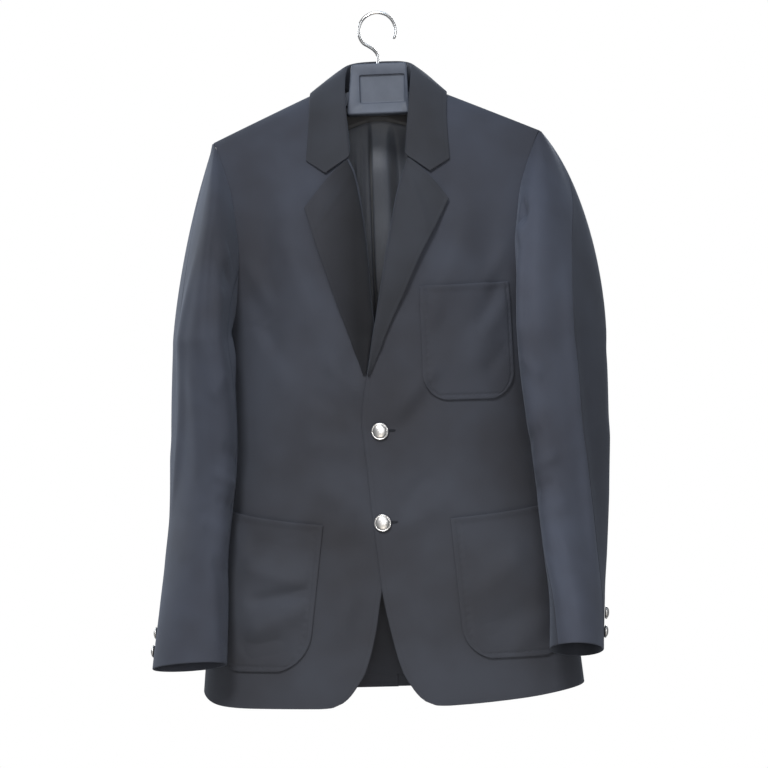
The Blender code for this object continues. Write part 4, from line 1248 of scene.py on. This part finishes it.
def pocket_frame(side, size, over, down):
    """x and z of a patch pocket: straight mouth, sides drawn in at the rounded foot."""
    height = size["top_in"] - size["foot"]
    radius = size["corner"]
    short = np.clip(1 - height * (1 - down) / radius, 0, 1)
    draw = radius * (1 - np.sqrt(1 - short ** 2 * 0.985))
    inner = between(size["in_top"], size["in_foot"], down) + draw
    level = between(size["top_in"], size["foot"], down)
    guess = station_of(level)
    value = between(size["out_top"], size["out_foot"], down)
    outer = np.where(value < 1, ring(guess)[2] * value, value) - draw
    station = guess + 0 * over
    x = torso(across_body(side * inner, side * outer, station, over), station)[..., 0]
    tilt = (size["top_out"] - size["top_in"]) * over * (1 - down)
    return x, level + tilt


def pocket_swell(name, size, over, down):
    """Belly of a pocket, its creases, its puckered row of stitches and its turned mouth."""
    height = size["top_in"] - size["foot"]
    crease_wide, stitch_wide = POCKET_WIDE
    long, start = POCKET_BELLY
    swell = size["belly"] * np.abs(np.sin(np.pi * over)) * np.sin(np.pi * down * long + start) ** 2
    for o0, d0, o1, d1, width, out in POCKET_CREASES[name]:
        swell = swell + crease((over - o0) * crease_wide, (down - d0) * height,
                               (o1 - o0) * crease_wide, (d1 - d0) * height, 0.0, width, out)
    edge = np.minimum(ease(over, 0, 0.1), ease(1 - over, 0, 0.1)) * ease(1 - down, 0, 0.08)
    inset = np.minimum(np.minimum(over, 1 - over) * stitch_wide, (1 - down) * height)
    deeper, pitch = STITCH_PUCKER
    pucker = 1 + deeper * np.sin((over * stitch_wide + down * height) * 2 * np.pi / pitch)
    groove = POCKET_GROOVE * pucker * np.exp(-((inset - STITCH_INSET) / GROOVE_WIDTH) ** 2)
    ends = ease(over, 0, 0.06) * ease(1 - over, 0, 0.06)
    mouth = POCKET_MOUTH * (1 - ease(down * height, *MOUTH_FADE)) * ends
    return POCKET_STAND + swell * edge - groove + mouth


def build_pocket(side, size, name):
    """Patch pocket on a front, bellied a little, with a turned hem at its mouth."""
    down, over = grid("pocket")
    down = np.concatenate([down[:-40], np.linspace(down[-40], 1, 70)[1:]])
    x, z = pocket_frame(side, size, over, down)
    station = station_at(x, z)
    lift = front_lift(side, x, station) + LIE + np.maximum(pocket_swell(name, size, over, down), 0)
    cloth_piece(name, on_body(x, station, lift + PATCH), on_body(x, station, lift - POCKET_LIFT),
                [NAVY], round_by=1.4, stitched=(0, 1, 1, 1))


def build_lining(name):
    """Satin lining inside the back, in soft vertical folds of uneven width."""
    down, over = grid("lining")
    share = over * 2 - 1
    level = np.interp(down, *LINING_RUN)
    station = -station_of(level) + 0 * share
    reach = np.minimum(LINING_REACH, smooth(ARMHOLE[:, 0], ARMHOLE[:, 2], -station) - 0.05)
    angle = angle_of(share * reach * ring(station)[2], station)
    large = (0.5 - 0.5 * np.cos(np.pi * LINING_FOLDS * (share + 1))) ** 1.6
    high, finer, start, slant = LINING_RIPPLE
    small = 0.5 - 0.5 * np.cos(np.pi * finer * LINING_FOLDS * (share + 1) + start + level / slant)
    fold = LINING_FOLD_DEPTH * large * (1 + 0.15 * np.sin(9 * share)) + high * small
    point, normal = torso(angle, station), outward(angle, station)
    x = point[..., 0]
    for top_x, foot_x, width, height, last in LINING_WAVES:
        centre = top_x + (foot_x - top_x) * (level - WAVE_TOP) / (last - WAVE_TOP)
        fade = 1 - ease(-level, -last - WAVE_FADE, -last)
        fold = fold + height * np.exp(-((x - centre) / width) ** 2) * fade
    pleat = ease(x, PLEAT_EDGE, PLEAT_EDGE + PLEAT_TURN) * (1 - ease(x, PLEAT_TOP, PLEAT_FADE))
    crown = 1 - 0.25 * ((x - PLEAT_EDGE - 8) / (PLEAT_TOP - PLEAT_EDGE)) ** 2
    deep = PLEAT_DEPTH * (1 - ease(-level, -PLEAT_FOOT - PLEAT_RUN_OUT, -PLEAT_FOOT))
    fold = (0.5 * fold + deep * pleat * crown) * ease(-level, *LINING_FLAT) * (1 - share ** 4)
    piping = PIPING[0] * np.exp(-((level - NECK_FACING_FOOT) / PIPING[1]) ** 2)
    outer = point - normal * (CLOTH + LINING_GAP + fold + piping)[..., None]
    centre, half, foot = VENT_FACING
    # Number 1 is the neck facing band above NECK_FACING_FOOT, a real facing made near black as painted
    # shadow under the hanger; number 2 is the navy vent facing
    facing = 1 * (level + 0 * x > NECK_FACING_FOOT) + 2 * ((level < foot) & (np.abs(x - centre) < half))
    cloth_piece(name, outer, outer - normal * SATIN, [SATIN_GREY, SATIN_DARK, NAVY], round_by=0.5,
                inside=facing)


# Buttons


def tube(path, across, up, radius, sides):
    """Rings of points round a path, from two ways across it and its radius all along."""
    turn = np.linspace(0, 2 * np.pi, sides, endpoint=False)[:, None]
    spoke = across[:, None] * np.cos(turn) + up[:, None] * np.sin(turn)
    return path[:, None] + radius[:, None, None] * spoke


def build_button(node, radius, dome, sides, place, axis):
    """Turned button: a rolled rim, a shallow groove inside it and a low crowned dome."""
    turn = np.linspace(0.05, 1.0, 14)[:-1] * np.pi / 2
    wide, low, high = BUTTON_CROWN
    crown = np.stack([wide * np.cos(turn), low + high * np.sin(turn)], -1)
    profile = np.concatenate([BUTTON_RIM, crown, [(0.02, 1.0)]]) * (radius, dome)
    side_way = unit(np.cross(axis, (0.0, 0.0, 1.0)))
    rings = tube(place + profile[:, 1:] * axis, side_way[None], np.cross(side_way, axis)[None],
                 profile[:, 0], sides)
    mesh_piece(node + "_metal", rings + (GARMENT_X, 0, 0), tube_faces(rings), [SILVER],
               node, 42)


def build_buttons():
    """Two front buttons, and two on each cuff."""
    for node, height in zip(("button_top", "button_lower"), BUTTON_HEIGHTS):
        station = station_at(np.zeros(1), np.full(1, height))
        place = on_body(np.zeros(1), station, np.full(1, BUTTON_STAND))[0]
        axis = outward(angle_of(np.zeros(1), station), station)[0]
        build_button(node, BUTTON_RADIUS, BUTTON_DOME, BUTTON_SIDES, place, axis)
    for side, table, label in ((1, SLEEVE_LEFT, "left"), (-1, SLEEVE_RIGHT, "right")):
        around = np.full(1, pick(CUFF_BUTTON_ANGLE, side))
        for number, rise in enumerate(CUFF_BUTTON_RISE, 1):
            down = np.full(1, len(table) - rise / abs(table[-1, 0] - table[-2, 0]))
            axis = sleeve_normal(side, table, around, down)[0]
            place = sleeve_point(side, table, around, down)[0] + axis * (CLOTH / 2 + CUFF_BUTTON_STAND)
            build_button(f"cuff_button_{label}_{number}", CUFF_BUTTON_RADIUS, CUFF_BUTTON_DOME,
                         CUFF_BUTTON_SIDES, place, axis)


def build_buttonhole(name, height):
    """Worked buttonhole: a long loop of thread on the left front, ribbed by its stitches."""
    count, sides = BUTTONHOLE_SIDES
    turn = np.linspace(0, 2 * np.pi, count, endpoint=False)
    x = BUTTONHOLE_PLACE + BUTTONHOLE_HALF * power(np.cos(turn), 0.55)
    z = height + BUTTONHOLE_OPEN * power(np.sin(turn), 0.8) + BUTTONHOLE_SLOPE * x
    station = station_at(x, z)
    centre = on_body(x, station, button_pull(x, z) + BUTTONHOLE_STAND)
    normal = outward(angle_of(x, station), station)
    way = unit(np.roll(centre, -1, 0) - np.roll(centre, 1, 0))
    thick, ribs = THREAD_RADIUS
    rings = tube(centre, np.cross(normal, way), 0.8 * normal, thick + ribs * np.cos(60 * turn), sides)
    index = np.arange(count * sides).reshape(count, sides)
    lobe = np.linspace(0, 2 * np.pi, sides, endpoint=False)
    flat = np.stack([np.repeat(turn * 8, sides), np.tile(lobe, count)], -1)
    mapped_piece(name, rings.reshape(-1, 3), quads(np.concatenate([index, index[:1]])),
                 {"cloth": flat, "stitch": flat * 0 + NO_STITCH}, [THREAD])


# Hanger


def build_hanger():
    """Neck panel with a rolled rim and a sunk face, and two arms under the shoulders."""
    turn = np.linspace(0, 2 * np.pi, 160, endpoint=False)
    share_x, share_z = power(np.cos(turn), 0.1), power(np.sin(turn), 0.1)
    middle_z, half_z = (PANEL_TOP + PANEL_FOOT) / 2, (PANEL_TOP - PANEL_FOOT) / 2
    rings = []
    for y, inset, sunk in PANEL_STEPS:
        z = middle_z + share_z * ((RECESS_HALF[1] if sunk else half_z) - inset * half_z)
        down = (PANEL_TOP - z) / (PANEL_TOP - PANEL_FOOT)
        wide = RECESS_HALF[0] if sunk else between(PANEL_HALF_TOP, PANEL_HALF_FOOT, down)
        lean = RECESS_SHIFT if sunk else between(*PANEL_LEAN, down)
        swell = 0 if sunk or y > PANEL_SWELL_FROM else PANEL_FOOT_SWELL * np.clip(-share_z, 0, 1)
        rings.append(np.stack([share_x * (wide - inset * half_z) + lean, y - swell + 0 * z, z], -1))
    rings = np.array(rings)
    mesh_piece("hanger_panel", rings, tube_faces(rings, True), [PLASTIC], "hanger", 35)
    for side in (1, -1):
        build_arm(side)


def build_arm(side):
    """Hanger arm: its top follows the shoulder just under the cloth, and widens outwards."""
    reach = np.linspace(0, 1, 60)[:, None]
    x = side * between(ARM_ROOT, ARM_TIP, reach)
    at_root, wider, at_tip = ARM_SPREAD
    spread = at_root + wider * ease(reach, 0.15, 1.0) - at_tip * ease(reach, 0.93, 1.0)
    station = spread * np.linspace(-1, 1, 25)
    garment_x = x - GARMENT_X + 0 * station
    sunk = CLOTH + ARM_CLEAR + ARM_COLLAR_CLEAR * (1 - ease(np.abs(garment_x), *ARM_COLLAR))
    top = on_body(garment_x, station, -sunk)
    top[..., 0] = x
    foot = top[:, ::-1].copy()
    foot[..., 1] *= ARM_FOOT_WIDTH
    foot[..., 2] = np.minimum(top[:, 12:13, 2] - ARM_HEIGHT + ARM_TAPER * reach,
                              foot[..., 2] - ARM_EDGE)
    rings = np.concatenate([top, foot[:, 1:-1]], 1)
    mesh_piece("hanger_arm_" + pick(("left", "right"), side), rings, tube_faces(rings, side > 0),
               [PLASTIC], sharp=50)


def build_hook():
    """Bent steel wire with a round tip, a short shank and a loop open on the wearer's left."""
    bend = np.radians(np.linspace(218, -28, 22))
    loop = np.stack([HOOK_RADIUS * np.cos(bend), HOOK_RADIUS * (np.sin(bend) - 1) + HOOK_WIRE], -1)
    knots = np.concatenate([np.add(HOOK_SHANK, (0.0, PANEL_TOP)), loop])
    run = np.concatenate([[0], np.cumsum(np.linalg.norm(np.diff(knots, axis=0), axis=1))])
    fine = np.linspace(0, run[-1], 160)
    x, z = (hermite(run, values, np.gradient(values, run), fine) for values in knots.T)
    path = np.stack([x, np.full(fine.shape, HOOK_Y), z], -1)
    way = unit(np.gradient(path, axis=0))
    depth_way = np.array((0.0, 1.0, 0.0))
    left = run[-1] - fine
    radius = HOOK_WIRE * np.sqrt(np.clip(1 - np.clip(1 - left / HOOK_WIRE, 0, 1) ** 2, 0.01, 1))
    rings = tube(path, np.cross(way, depth_way), depth_way[None], radius, 24)
    mesh_piece("hook_wire", rings, tube_faces(rings, True), [STEEL], "hook")


# Camera and light


def build_camera():
    """Camera at the photograph's place, rolled as the picture is."""
    turn = math.radians(AZIMUTH)
    lens = bpy.data.cameras.new("camera")
    lens.angle = math.radians(2 * HALF_VIEW)
    lens.clip_end = 60.0
    camera = bpy.data.objects.new("camera", lens)
    camera.location = (TARGET[0] + DISTANCE * math.sin(turn), TARGET[1] - DISTANCE * math.cos(turn),
                       TARGET[2])
    camera.rotation_mode = "XYZ"
    camera.rotation_euler = (math.radians(90), math.radians(ROLL), turn)
    bpy.context.scene.collection.objects.link(camera)
    bpy.context.scene.camera = camera


def build_light(name, place, size, power_w, colour):
    """Round soft light aimed at the middle of the blazer."""
    light = bpy.data.lights.new(name, "AREA")
    light.shape = "DISK"
    light.size = size
    light.energy = power_w
    light.color = colour
    item = bpy.data.objects.new(name, light)
    item.location = place
    way = unit(np.array(TARGET) - place)
    item.rotation_mode = "XYZ"
    item.rotation_euler = (math.acos(-way[2]), 0.0, math.atan2(-way[0], way[1]))
    bpy.context.scene.collection.objects.link(item)


def build_studio():
    """White to the camera, pale light all round, and the soft lights of the photograph."""
    world = bpy.context.scene.world or bpy.data.worlds.new("studio")
    bpy.context.scene.world = world
    world.use_nodes = True
    tree = world.node_tree
    round_about = tree.nodes["Background"]
    feed(tree, round_about, {"Color": (0.95, 0.975, 1.0, 1.0), "Strength": 0.24})
    seen = new_node(tree, "Background", {"Color": (1.0, 1.0, 1.0, 1.0)})
    sight = new_node(tree, "LightPath", {}).outputs["Is Camera Ray"]
    choose = new_node(tree, "MixShader", {"Fac": sight, 1: round_about.outputs["Background"],
                                          2: seen.outputs["Background"]})
    feed(tree, tree.nodes["World Output"], {"Surface": choose.outputs["Shader"]})
    for name, place, size, power_w, colour in LIGHTS:
        build_light(name, place, size, power_w, colour)


build_camera()
bpy.context.scene.view_settings.view_transform = "Standard"
for side, word in ((1, "left"), (-1, "right")):
    build_front(side, f"front_{word}")
    build_back(side, f"back_{word}")
    build_lapel(side, f"lapel_{word}")
    sleeve = SLEEVE_LEFT if side > 0 else SLEEVE_RIGHT
    build_sleeve(side, sleeve, f"sleeve_top_{word}", "top")
    build_sleeve(side, sleeve, f"sleeve_under_{word}", "under")
build_collar("collar")
build_lining("lining_back")
build_pocket(1, BREAST_POCKET, "pocket_breast")
build_pocket(1, POCKET_LEFT, "pocket_left")
build_pocket(-1, POCKET_RIGHT, "pocket_right")
build_buttons()
for name, height in zip(("buttonhole_top", "buttonhole_lower"), BUTTON_HEIGHTS):
    build_buttonhole(name, height)
build_hanger()
build_hook()
build_studio()
